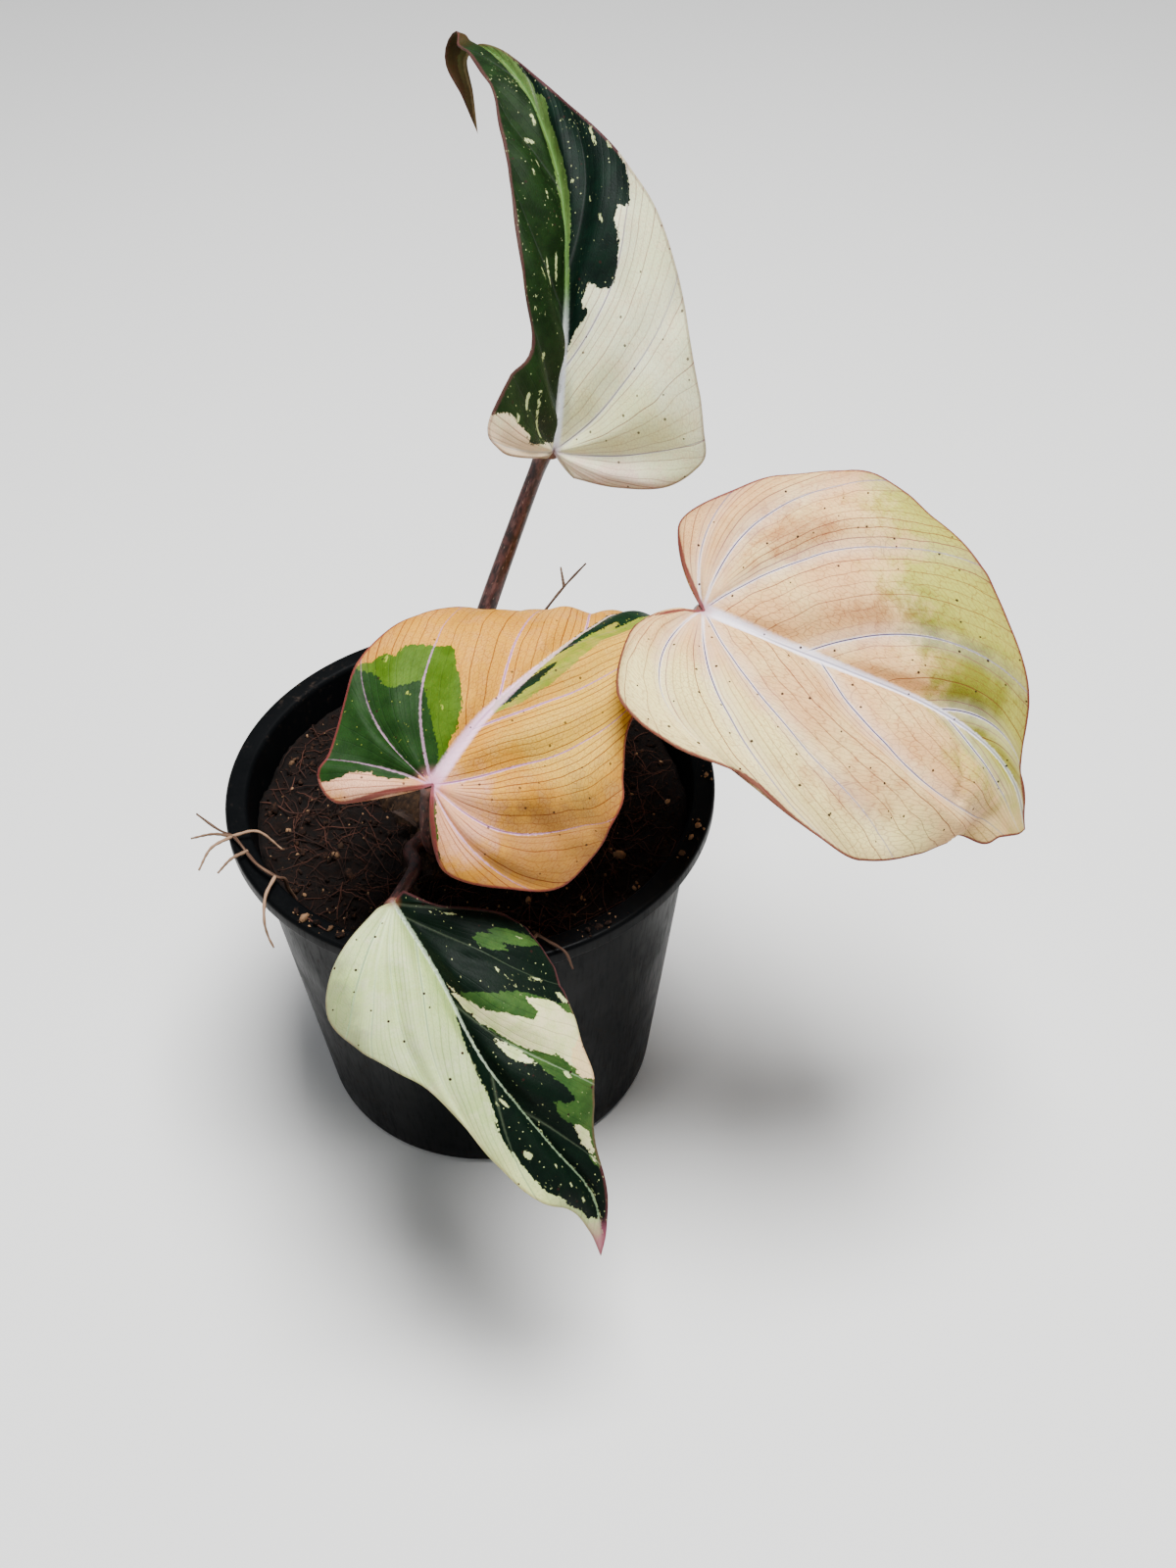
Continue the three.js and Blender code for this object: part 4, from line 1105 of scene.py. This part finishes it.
def pot_material(look):
    """Black moulded plastic with fine scuffs, and dust where soil and water reach it."""
    s = Shader("pot_plastic", Specular_IOR_Level=0.05)
    place = s.position()
    _, _, z = s.split(place)
    scuffs = s.noise(s.stretch(place, 1, 1, 0.05), 900, 3, 0.7)
    cloud = s.noise(place, 40, 4, 0.6)
    dust = s.noise(place, 420, 3, 0.7)
    low = s.step(z, 0, 0.03, 1, 0)
    dusty = s.step(dust + cloud * 0.5 + low * 0.05, 0.88, 1.08)
    s.colour = s.mix(s.step(cloud, 0.4, 0.7, 0, 0.5), look.colour, [c * 1.6 for c in look.colour])
    s.paint(dusty * 0.35, linear("463A32"))
    roughness = 0.36 + s.step(cloud, 0.35, 0.7, 0, 0.16) + s.step(scuffs, 0.45, 0.7, 0, 0.12) + dusty * 0.3
    return s.finish(roughness, scuffs * 0.3 + dust * 0.2, 0.12, 0.0003)


def soil_material(look):
    """Damp coir and peat, nearly black between reddish crumbs."""
    s = Shader("soil", Specular_IOR_Level=0.15)
    place = s.position()
    coarse = s.noise(place, 420, 6, 0.75)
    fine = s.noise(place, 1300, 5, 0.75)
    s.colour = s.mix(s.step(coarse, 0.4, 0.66), look.dark_colour, look.red_colour)
    s.paint(s.step(fine, 0.58, 0.72, 0, 0.6), linear("2C1C14"))
    s.paint(s.step(fine, 0.3, 0.46, 0.8, 0), linear("040302"))
    return s.finish(0.95 - s.step(coarse, 0.3, 0.6, 0.25, 0), coarse * 0.6 + fine * 0.5, 0.8, 0.0012)


def crumb_material(name, look, paler):
    """Crumbs, from black peat to reddish and tan bark."""
    s = Shader(name, Specular_IOR_Level=0.15)
    tint = s.attribute("tint") + paler
    fine = s.noise(s.position(), 1100, 4, 0.7)
    s.colour = s.mix(s.step(tint, 0.2, 0.8), look.dark_colour, look.red_colour)
    s.paint(s.step(tint, 0.86, 0.96), linear("8A6A4E"))
    s.paint(s.step(fine, 0.45, 0.75, 0, 0.5), linear("5E3E2C"))
    return s.finish(0.9, fine, 0.7, 0.0006)


def fibre_material(name, dull, bright, across_scale=1.6):
    """Fibrous bark or root, streaked along its length."""
    s = Shader(name, Specular_IOR_Level=0.2)
    tint = s.attribute("tint")
    wrap = s.attribute("wrap", "Vector")
    streak = s.streaks(wrap, across_scale, 0.12, 4, 0.65)
    spots = s.noise(wrap, 0.9, 3)
    s.colour = s.mix(s.step(streak + (tint - 0.5) * 0.5, 0.3, 0.75), dull, bright)
    s.paint(s.step(spots, 0.62, 0.74, 0, 0.5), (0.012, 0.007, 0.005))
    return s.finish(0.8, streak * 0.8 + spots * 0.3, 0.5, 0.0004)


def stalk_material(look):
    """A leaf stalk: red-brown, with pale lengthwise dashes and dark blotches."""
    s = Shader("stalk", Coat_Weight=0.05)
    wrap = s.attribute("wrap", "Vector")
    share = s.attribute("share")
    streak = s.streaks(wrap, 2.6, 0.22, 4, 0.6)
    blotch = s.streaks(wrap, 1.4, 0.35, 3, 0.6)
    dashes = s.streaks(wrap, 5, 0.5, 2, 0.5)
    s.colour = s.mix(s.step(blotch, 0.38, 0.62), look.dark_colour, look.colour)
    s.paint(s.step(streak, 0.5, 0.7, 0, 0.55), look.pale_colour)
    s.paint(s.step(dashes, 0.66, 0.72, 0, 0.5), linear("B0907E"))
    s.paint(s.step(share, 0.9, 1.0, 0, 0.5), linear("8A5A4A"))
    s.paint(s.step(share, 0, 0.12, 0.6, 0), linear("3A2A20"))
    return s.finish(0.48 + (blotch - 0.5) * 0.3, streak * 0.5 + dashes * 0.4, 0.35, 0.0004)


def stem_material():
    """The creeping stem: rough brown bark with leaf scars."""
    s = Shader("creeping_stem", Specular_IOR_Level=0.2)
    wrap = s.attribute("wrap", "Vector")
    bark = s.streaks(wrap, 1.8, 0.3, 5, 0.7)
    spots = s.streaks(wrap, 2.5, 0.8)
    s.colour = s.mix(s.step(bark, 0.35, 0.68), linear("180F0A"), linear("44301F"))
    s.paint(s.step(spots, 0.6, 0.72, 0, 0.6), linear("644C38"))
    return s.finish(0.85, bark + spots * 0.4, 0.7, 0.0007)


def scrap_material():
    """Dried papery scraps of old leaf sheath."""
    s = Shader("dried_sheath")
    fibre = s.noise(s.stretch(s.attribute("flat", "Vector"), 5, 0.4, 1), 1.0, 4, 0.7)
    cloud = s.noise(s.attribute("flat", "Vector"), 0.3, 3)
    s.colour = s.mix(s.step(fibre, 0.35, 0.7), linear("1C110C"), linear("483224"))
    s.paint(s.step(cloud, 0.5, 0.7, 0, 0.5), linear("5E4836"))
    return s.finish(0.75, fibre, 0.5, 0.0004)


def floor_material(colour):
    """A matt pale floor, faintly clouded."""
    s = Shader("floor", Roughness=0.75)
    cloud = s.noise(s.position(), 3, 3)
    s.colour = s.mix(cloud, colour, [0.96 * c for c in colour])
    return s.finish()


# Pieces


def inner_radius(z):
    """The pot's inside at a height."""
    (top_radius, top), (low_radius, low) = POT_PROFILE[-4:-2]
    return low_radius + (top_radius - low_radius) * (z - low) / (top - low)


def make_pot(look):
    """The moulded pot, with a flange and its short skirt, a foot ring and drain holes."""
    shape = Shape()
    lathe(shape, divided(rounded(POT_PROFILE, POT_ROUNDING), POT_LONGEST_STEP), look.segments)
    pot = shape.piece("pot_body", pot_material(look), "pot", ["pot"])
    drill = Shape()
    lathe(drill, [(0, -2), (DRAIN_RADIUS, -2), (DRAIN_RADIUS, 4), (0, 4)], DRAIN_STEPS)
    drills = Shape()
    for k in range(DRAIN_COUNT):
        turn = math.radians(360 / DRAIN_COUNT * (k + 0.5))
        place = (DRAIN_CIRCLE * math.cos(turn), DRAIN_CIRCLE * math.sin(turn), 0)
        drills.add(np.vstack(drill.points) + place, drill.faces)
    mesh = bpy.data.meshes.new("drills")
    mesh.from_pydata((np.vstack(drills.points) * MM).tolist(), [], drills.faces)
    welded(mesh)
    cutter = bpy.data.objects.new("drills", mesh)
    bpy.context.scene.collection.objects.link(cutter)
    cut = pot.modifiers.new("drain_holes", "BOOLEAN")
    cut.operation = "DIFFERENCE"
    cut.solver = "EXACT"
    cut.object = cutter
    pot.data = bpy.data.meshes.new_from_object(pot.evaluated_get(bpy.context.evaluated_depsgraph_get()))
    pot.modifiers.clear()
    bpy.data.objects.remove(cutter)
    pot.data.set_sharp_from_angle(angle=SHARP_ANGLE)


def welded(mesh):
    """Join the corners of a mesh that coincide."""
    work = bmesh.new()
    work.from_mesh(mesh)
    bmesh.ops.remove_doubles(work, verts=work.verts, dist=1e-7)
    work.to_mesh(mesh)
    work.free()


def make_soil(look):
    """The plug of soil, lumpy on top."""
    top = inner_radius(SOIL_TOP) - FIT_GAP
    foot = POT_PROFILE[-2][0] - FIT_GAP
    profile = [(0, SOIL_FOOT), (foot, SOIL_FOOT), *((inner_radius(z) - FIT_GAP, z) for z in SOIL_STEPS)]
    rings = np.concatenate([[top, top - 0.2], np.linspace(top - 0.6, 0, look.rings)])
    angle = np.linspace(0, 2 * np.pi, look.segments, endpoint=False)
    side = [(r * np.cos(angle), r * np.sin(angle), 0 * angle + z) for r, z in profile]
    for r in rings:
        x, y = r * np.cos(angle), r * np.sin(angle)
        side.append((x, y, soil_height(x, y) - 1.5 * smooth(r, top - 1.2, top)))
    points = np.stack([np.stack(ring, -1) for ring in side]).reshape(-1, 3)
    shape = Shape()
    shape.add(points, grid_faces(len(side), look.segments, closed=True))
    shape.piece("soil_plug", soil_material(look), "soil", ["soil"])


def ball():
    """Corners and faces of a ball of 80 small faces."""
    work = bmesh.new()
    bmesh.ops.create_icosphere(work, subdivisions=2, radius=1)
    points = np.array([v.co for v in work.verts])
    faces = [[v.index for v in face.verts] for face in work.faces]
    work.free()
    return points, faces


def add_crumb(shape, points, faces, place, size, tint, rng):
    """One rough crumb."""
    stretch = size * rng.uniform((0.75, 0.6, 0.45), (1.3, 1.0, 0.8))
    turn = Euler(rng.uniform(0, 6.28, 3)).to_matrix()
    lumpy = points * rng.uniform(0.72, 1.15, len(points))[:, None] * stretch
    shape.add(lumpy @ np.array(turn) + place, faces, tint=np.full(len(points), tint))


def make_crumbs(look):
    """Loose crumbs of coir, peat and bark on the soil and on the pot's rim."""
    rng = np.random.default_rng(CRUMB_SEED)
    points, faces = ball()
    shape = Shape()
    for _ in range(look.crumbs):
        radius, turn = LOOSE_RADIUS * math.sqrt(rng.uniform()), rng.uniform(0, 6.283)
        x, y = radius * math.cos(turn), radius * math.sin(turn)
        size = min(CRUMB_TYPICAL * math.exp(abs(rng.normal(0, CRUMB_SPREAD))), CRUMB_LARGEST)
        place = (x, y, float(soil_height(np.array(x), np.array(y))) + size * 0.25)
        add_crumb(shape, points, faces, place, size, rng.uniform(), rng)
    shape.piece("soil_crumbs", crumb_material("soil_crumbs", look, 0), "soil")
    shape = Shape()
    for x, y, size, tint in RIM_CRUMBS:
        radius = math.hypot(x, y)
        add_crumb(shape, points, faces, (x, y, RIM_TOP + size * 0.35), size, tint, rng)
        for _ in range(RIM_CRUMBS_BESIDE):
            turn = math.atan2(y, x) + rng.normal(0, 0.035)
            out = float(np.clip(radius + rng.normal(0, 1.6), *RIM_CRUMB_BAND))
            small = rng.uniform(0.16, 0.5)
            place = (out * math.cos(turn), out * math.sin(turn), RIM_TOP + small * 0.4)
            add_crumb(shape, points, faces, place, small, rng.uniform(0, 1) ** 0.6, rng)
    shape.piece("rim_crumbs", crumb_material("rim_crumbs", look, 0.2), "soil")


def spindle(radius, thinning, steps):
    """Radii along a fibre that thins towards both ends."""
    return radius * (1 - thinning * np.abs(np.linspace(-1, 1, steps)) ** 3)


def make_fibres(look):
    """Coir fibres lying on the soil, and two by the rim."""
    rng = np.random.default_rng(FIBRE_SEED)
    shape = Shape()
    last = FIBRE_STEPS - 1
    for _ in range(look.fibres):
        radius, turn = FIBRE_SPREAD * math.sqrt(rng.uniform()), rng.uniform(0, 6.283)
        spot, heading = np.array([radius * math.cos(turn), radius * math.sin(turn)]), rng.uniform(0, 6.283)
        length = rng.uniform(*(FIBRE_SHORT if rng.uniform() < FIBRE_SHORT_SHARE else FIBRE_LONG))
        bow, rise = rng.normal(0, 0.06), rng.uniform(0, 1.9) ** 2 * 0.5
        line = []
        for step in range(FIBRE_STEPS):
            heading += bow + rng.normal(0, 0.07)
            spot = spot + length / last * np.array([math.cos(heading), math.sin(heading)])
            far = np.hypot(*spot)
            if far > LOOSE_RADIUS:
                spot = spot * LOOSE_RADIUS / far
            ground = float(soil_height(np.array(spot[0]), np.array(spot[1])))
            line.append((*spot, ground + 0.25 + rise * math.sin(math.pi * step / last)))
        radii = spindle(rng.uniform(*FIBRE_RADIUS), FIBRE_THINNING, FIBRE_STEPS)
        add_tube(shape, even_curve(line, FIBRE_STEPS)[0], radii, FIBRE_SIDES, tint=rng.uniform())
    for route in RIM_FIBRES:
        radii = spindle(RIM_FIBRE_RADIUS, RIM_FIBRE_THINNING, RIM_FIBRE_STEPS)
        add_tube(shape, even_curve(route, RIM_FIBRE_STEPS)[0], radii, RIM_FIBRE_SIDES, tint=0.6)
    shape.piece("coir_fibres", fibre_material("coir_fibres", look.fibre_dark, look.fibre_bright), "soil")


def make_stem():
    """The creeping stem with its rings, and scraps of dried sheath on it."""
    line = even_curve(STEM_ROUTE, STEM_STEPS)[0]
    rng = np.random.default_rng(STEM_SEED)
    share = np.linspace(0, 1, STEM_STEPS)
    blunt = np.sqrt(np.clip(1 - np.clip(1 - share / 0.1, 0, 1) ** 2, 0.02, 1))
    point = np.sqrt(np.clip(1 - np.clip((share - 0.9) / 0.1, 0, 1) ** 2, 0.02, 1))
    taper = 1 - np.clip((share - 0.55) / 0.45, 0, 1) / 2
    rings = 0.5 * np.cos(2 * np.pi * STEM_RINGS * share) ** 5
    radii = (STEM_RADIUS * taper + rings + rng.normal(0, 0.08, STEM_STEPS)) * blunt * point
    shape = Shape()
    add_tube(shape, line, radii, STEM_SIDES)
    chunk = np.vstack(shape.points)
    bumps = 0.35 * lumps(chunk[:, 0] + chunk[:, 2], chunk[:, 1] + 0.7 * chunk[:, 2], 2.2, 21)
    shape.points = [chunk + (0, 0, 1) * bumps[:, None]]
    shape.piece("creeping_stem_bark", stem_material(), "creeping_stem", ["creeping_stem"])
    scraps = Shape()
    for x, y, z, length, width, heading, tilt in SHEATH_SCRAPS:
        add_scrap(scraps, (x, y, z), length, width, heading, tilt, rng)
    scraps.piece("dried_sheath_scraps", scrap_material(), "creeping_stem")


def add_scrap(shape, place, length, width, heading, tilt, rng):
    """A curled papery strip with torn ends."""
    rows, columns = 22, 9
    u, v = np.meshgrid(np.linspace(0, 1, rows), np.linspace(-1, 1, columns), indexing="ij")
    torn = rng.uniform(-0.12, 0.12, columns)
    along = length * (u + torn[None, :] * (2 * u - 1) ** 3)
    narrowing = 0.3 + 0.7 * np.sin(np.pi * np.clip(u, 0.04, 0.96)) ** 0.6
    half = width * narrowing + 0.15 * rng.normal(size=u.shape)
    curl = 1.1 * v
    sheets = []
    for lift in (0.12, -0.12):
        local = np.stack([along, half * np.sin(curl),
                          half * (1 - np.cos(curl)) + lift + 1.2 * np.sin(2.4 * u)], -1)
        turn = np.array(Euler((0, -tilt, heading)).to_matrix())
        sheets.append(local @ turn.T + place)
    flat = np.stack([half * v, along, 0 * u], -1).reshape(-1, 3)
    start = shape.count
    for n, sheet in enumerate(sheets):
        shape.add(sheet.reshape(-1, 3), grid_faces(rows, columns, flip=n == 0), flat=flat)
    edge = [i * columns for i in range(rows)] + [(rows - 1) * columns + j for j in range(1, columns)]
    edge += [i * columns + columns - 1 for i in range(rows - 2, -1, -1)] + list(range(columns - 2, -1, -1))
    other = rows * columns
    for a, b in zip(edge, edge[1:]):
        shape.faces.append([start + a, start + a + other, start + b + other, start + b])


def make_stalks(look):
    """The four leaf stalks, each from the stem up to its blade."""
    material = stalk_material(look)
    for leaf, plan in STALKS.items():
        line = even_curve([*plan["route"], *Blade(LEAVES[leaf]).stalk_end()], STALK_STEPS)[0]
        share = np.linspace(0, 1, len(line))
        low, high = plan["radius"]
        flare = STALK_FLARE * np.clip(1 - share / STALK_FLARE_SHARE, 0, 1) ** 2
        radii = low + (high - low) * np.clip(1.15 * share, 0, 1) + flare
        radii = radii + ridge(share - STALK_COLLAR_PLACE, *STALK_COLLAR)
        shape = Shape()
        add_tube(shape, line, radii, STALK_SIDES)
        shape.piece(f"{leaf}_stalk", material, "stalk", [f"stalk_{leaf}"])


def make_blades(look):
    """The four leaf blades."""
    for leaf, plan in LEAVES.items():
        shape = Blade(plan).shape(PATCHES[leaf], FLECKS.get(leaf, []), look)
        shape.piece(f"{leaf}_blade", blade_material(leaf), f"blade_{leaf}", [f"blade_{leaf}"])


def make_roots(look):
    """The roots that climb over the rim."""
    material = fibre_material("root_bark", look.dull_colour, look.bright_colour, 2.0)
    for name, branches in ROOTS.items():
        shape = Shape()
        for number, route in enumerate(branches):
            line = even_curve(route, ROOT_STEPS * len(route))[0]
            share = np.linspace(0, 1, len(line))
            radii = ROOT_RADIUS - ROOT_TAPER * share + ROOT_LUMP * np.sin(37 * share + number)
            if number:
                radii = BRANCH_SHARE * radii
            add_tube(shape, line, radii, ROOT_SIDES, tint=0.25 + 0.2 * number)
        shape.piece(f"{name}_root", material, "root", [f"root_{name}"])


def make_stage(look):
    """A pale floor, soft lights and the camera at the photograph's angle."""
    mesh = bpy.data.meshes.new("floor")
    mesh.from_pydata(FLOOR, [], [(0, 1, 2, 3)])
    mesh.materials.append(floor_material(look.floor_colour))
    floor = bpy.data.objects.new("floor", mesh)
    bpy.context.scene.collection.objects.link(floor)
    for name, place, size, power in LAMPS:
        lamp = bpy.data.lights.new(name, "AREA")
        lamp.size = size
        lamp.energy = getattr(look, power)
        made = bpy.data.objects.new(name, lamp)
        made.location = place
        aim = Vector(LAMP_AIM) - made.location
        made.rotation_euler = aim.to_track_quat("-Z", "Y").to_euler()
        bpy.context.scene.collection.objects.link(made)
    world = bpy.data.worlds.new("studio")
    world.use_nodes = True
    sky = world.node_tree.nodes["Background"]
    sky.inputs["Color"].default_value = SKY
    sky.inputs["Strength"].default_value = look.surround
    bpy.context.scene.world = world
    lens = bpy.data.cameras.new("camera")
    lens.lens = LENS_LENGTH
    lens.sensor_width = SENSOR_WIDTH
    lens.clip_start = 0.01
    camera = bpy.data.objects.new("camera", lens)
    pitch = Matrix.Rotation(math.radians(CAMERA_PITCH), 4, "X")
    roll = Matrix.Rotation(math.radians(CAMERA_ROLL), 4, "Z")
    camera.matrix_world = Matrix.Translation(CAMERA_PLACE) @ pitch @ roll
    bpy.context.scene.collection.objects.link(camera)
    bpy.context.scene.camera = camera


# What a user can change


def colour_setting(name, description, code):
    """A colour that a user can change."""
    return FloatVectorProperty(name=name, description=description, default=linear(code), subtype="COLOR",
                               size=3, min=0, max=1)


class PotSettings(bpy.types.PropertyGroup):
    colour: colour_setting("Plastic", "Colour of the pot's plastic", "050607")
    segments: IntProperty(name="Segments", description="Steps round the pot", default=192, min=48, max=384)


class SoilSettings(bpy.types.PropertyGroup):
    dark_colour: colour_setting("Peat", "Colour of the damp peat", "070403")
    red_colour: colour_setting("Coir", "Colour of the reddish coir", "190F0B")
    fibre_dark: colour_setting("Dark fibre", "Colour of the darker fibres", "1C110C")
    fibre_bright: colour_setting("Bright fibre", "Colour of the brighter fibres", "4E2F25")
    rings: IntProperty(name="Rings", description="Rings of corners on the soil's top", default=105, min=20,
                       max=160)
    segments: IntProperty(name="Segments", description="Steps round the soil", default=330, min=48, max=420)
    crumbs: IntProperty(name="Crumbs", description="Number of loose crumbs", default=2000, min=0, max=2200)
    fibres: IntProperty(name="Fibres", description="Number of coir fibres", default=1000, min=0, max=1200)


class StalkSettings(bpy.types.PropertyGroup):
    colour: colour_setting("Stalk", "Main colour of the stalks", "522E2A")
    dark_colour: colour_setting("Blotches", "Colour of the dark blotches", "241614")
    pale_colour: colour_setting("Dashes", "Colour of the pale lengthwise dashes", "7E5650")


class BladeSettings(bpy.types.PropertyGroup):
    thickness: FloatProperty(name="Thickness", description="Thickness of a blade", default=0.55 * MM,
                             unit="LENGTH")
    quilt: FloatProperty(name="Quilting", description="Height of the puffs between veins", default=2.2 * MM,
                         unit="LENGTH")
    edge_wave: FloatProperty(name="Edge wave", description="Height of the waves of the edge",
                             default=0.35 * MM, unit="LENGTH")
    midrib_columns: IntProperty(name="Midrib columns", description="Columns of corners along the midrib",
                                default=110)
    fan_columns: IntProperty(name="Fan columns", description="Columns of corners round the stalk", default=72)
    rows: IntProperty(name="Rows", description="Corners from the midrib to the edge", default=42)


class RootSettings(bpy.types.PropertyGroup):
    dull_colour: colour_setting("Dull", "Darker colour of the roots", "3E2A20")
    bright_colour: colour_setting("Bright", "Brighter colour of the roots", "94765E")


class StageSettings(bpy.types.PropertyGroup):
    floor_colour: colour_setting("Floor", "Colour of the floor", "EFEFED")
    key_power: FloatProperty(name="Main light", description="Power of the main light", default=43,
                             unit="POWER")
    fill_power: FloatProperty(name="Fill light", description="Power of the second light", default=3,
                              unit="POWER")
    surround: FloatProperty(name="Surround", description="Strength of the light from all round", default=0.27)


# Operators, one for each group of pieces


class PlantOperator:
    bl_options = {"REGISTER", "UNDO"}


class PLANT_OT_stage(PlantOperator, bpy.types.Operator):
    """Make the floor, the lights and the camera"""
    bl_idname = "plant.stage"
    bl_label = "Stage"

    def execute(self, context):
        make_stage(context.scene.plant_stage)
        return {"FINISHED"}


class PLANT_OT_pot(PlantOperator, bpy.types.Operator):
    """Make the pot"""
    bl_idname = "plant.pot"
    bl_label = "Pot"

    def execute(self, context):
        make_pot(context.scene.plant_pot)
        return {"FINISHED"}


class PLANT_OT_soil(PlantOperator, bpy.types.Operator):
    """Make the soil, its crumbs and its fibres"""
    bl_idname = "plant.soil"
    bl_label = "Soil"

    def execute(self, context):
        make_soil(context.scene.plant_soil)
        make_crumbs(context.scene.plant_soil)
        make_fibres(context.scene.plant_soil)
        return {"FINISHED"}


class PLANT_OT_stem(PlantOperator, bpy.types.Operator):
    """Make the creeping stem and the dried scraps on it"""
    bl_idname = "plant.stem"
    bl_label = "Creeping stem"

    def execute(self, context):
        make_stem()
        return {"FINISHED"}


class PLANT_OT_stalks(PlantOperator, bpy.types.Operator):
    """Make the leaf stalks"""
    bl_idname = "plant.stalks"
    bl_label = "Leaf stalks"

    def execute(self, context):
        make_stalks(context.scene.plant_stalk)
        return {"FINISHED"}


class PLANT_OT_blades(PlantOperator, bpy.types.Operator):
    """Make the leaf blades"""
    bl_idname = "plant.blades"
    bl_label = "Leaf blades"

    def execute(self, context):
        make_blades(context.scene.plant_blade)
        return {"FINISHED"}


class PLANT_OT_roots(PlantOperator, bpy.types.Operator):
    """Make the roots over the rim"""
    bl_idname = "plant.roots"
    bl_label = "Roots"

    def execute(self, context):
        make_roots(context.scene.plant_root)
        return {"FINISHED"}


class PLANT_PT_panel(bpy.types.Panel):
    """Lists the pieces and their settings"""
    bl_idname = "PLANT_PT_panel"
    bl_label = "Potted philodendron"
    bl_space_type = "VIEW_3D"
    bl_region_type = "UI"
    bl_category = "Plant"

    def draw(self, context):
        for key, group, operators in PARTS:
            box = self.layout.box()
            for operator in operators:
                box.operator(operator.bl_idname)
            for setting in group.__annotations__:
                box.prop(getattr(context.scene, key), setting)


# Name in the scene, settings and operators of each group of pieces
PARTS = [
    ("plant_stage", StageSettings, [PLANT_OT_stage]),
    ("plant_pot", PotSettings, [PLANT_OT_pot]),
    ("plant_soil", SoilSettings, [PLANT_OT_soil]),
    ("plant_stalk", StalkSettings, [PLANT_OT_stem, PLANT_OT_stalks]),
    ("plant_blade", BladeSettings, [PLANT_OT_blades]),
    ("plant_root", RootSettings, [PLANT_OT_roots]),
]
CLASSES = [*(group for _, group, _ in PARTS), *(made for _, _, operators in PARTS for made in operators)]
CLASSES.append(PLANT_PT_panel)


def register():
    """Register the classes, and give the scene its settings."""
    for part in CLASSES:
        bpy.utils.register_class(part)
    for key, group, _ in PARTS:
        setattr(bpy.types.Scene, key, PointerProperty(type=group))


def unregister():
    """Undo what register did."""
    for key, _, _ in PARTS:
        delattr(bpy.types.Scene, key)
    for part in reversed(CLASSES):
        bpy.utils.unregister_class(part)


def main():
    """Make every piece in order."""
    register()
    bpy.ops.plant.stage()
    bpy.ops.plant.pot()
    bpy.ops.plant.soil()
    bpy.ops.plant.stem()
    bpy.ops.plant.stalks()
    bpy.ops.plant.blades()
    bpy.ops.plant.roots()


if __name__ == "__main__":
    main()
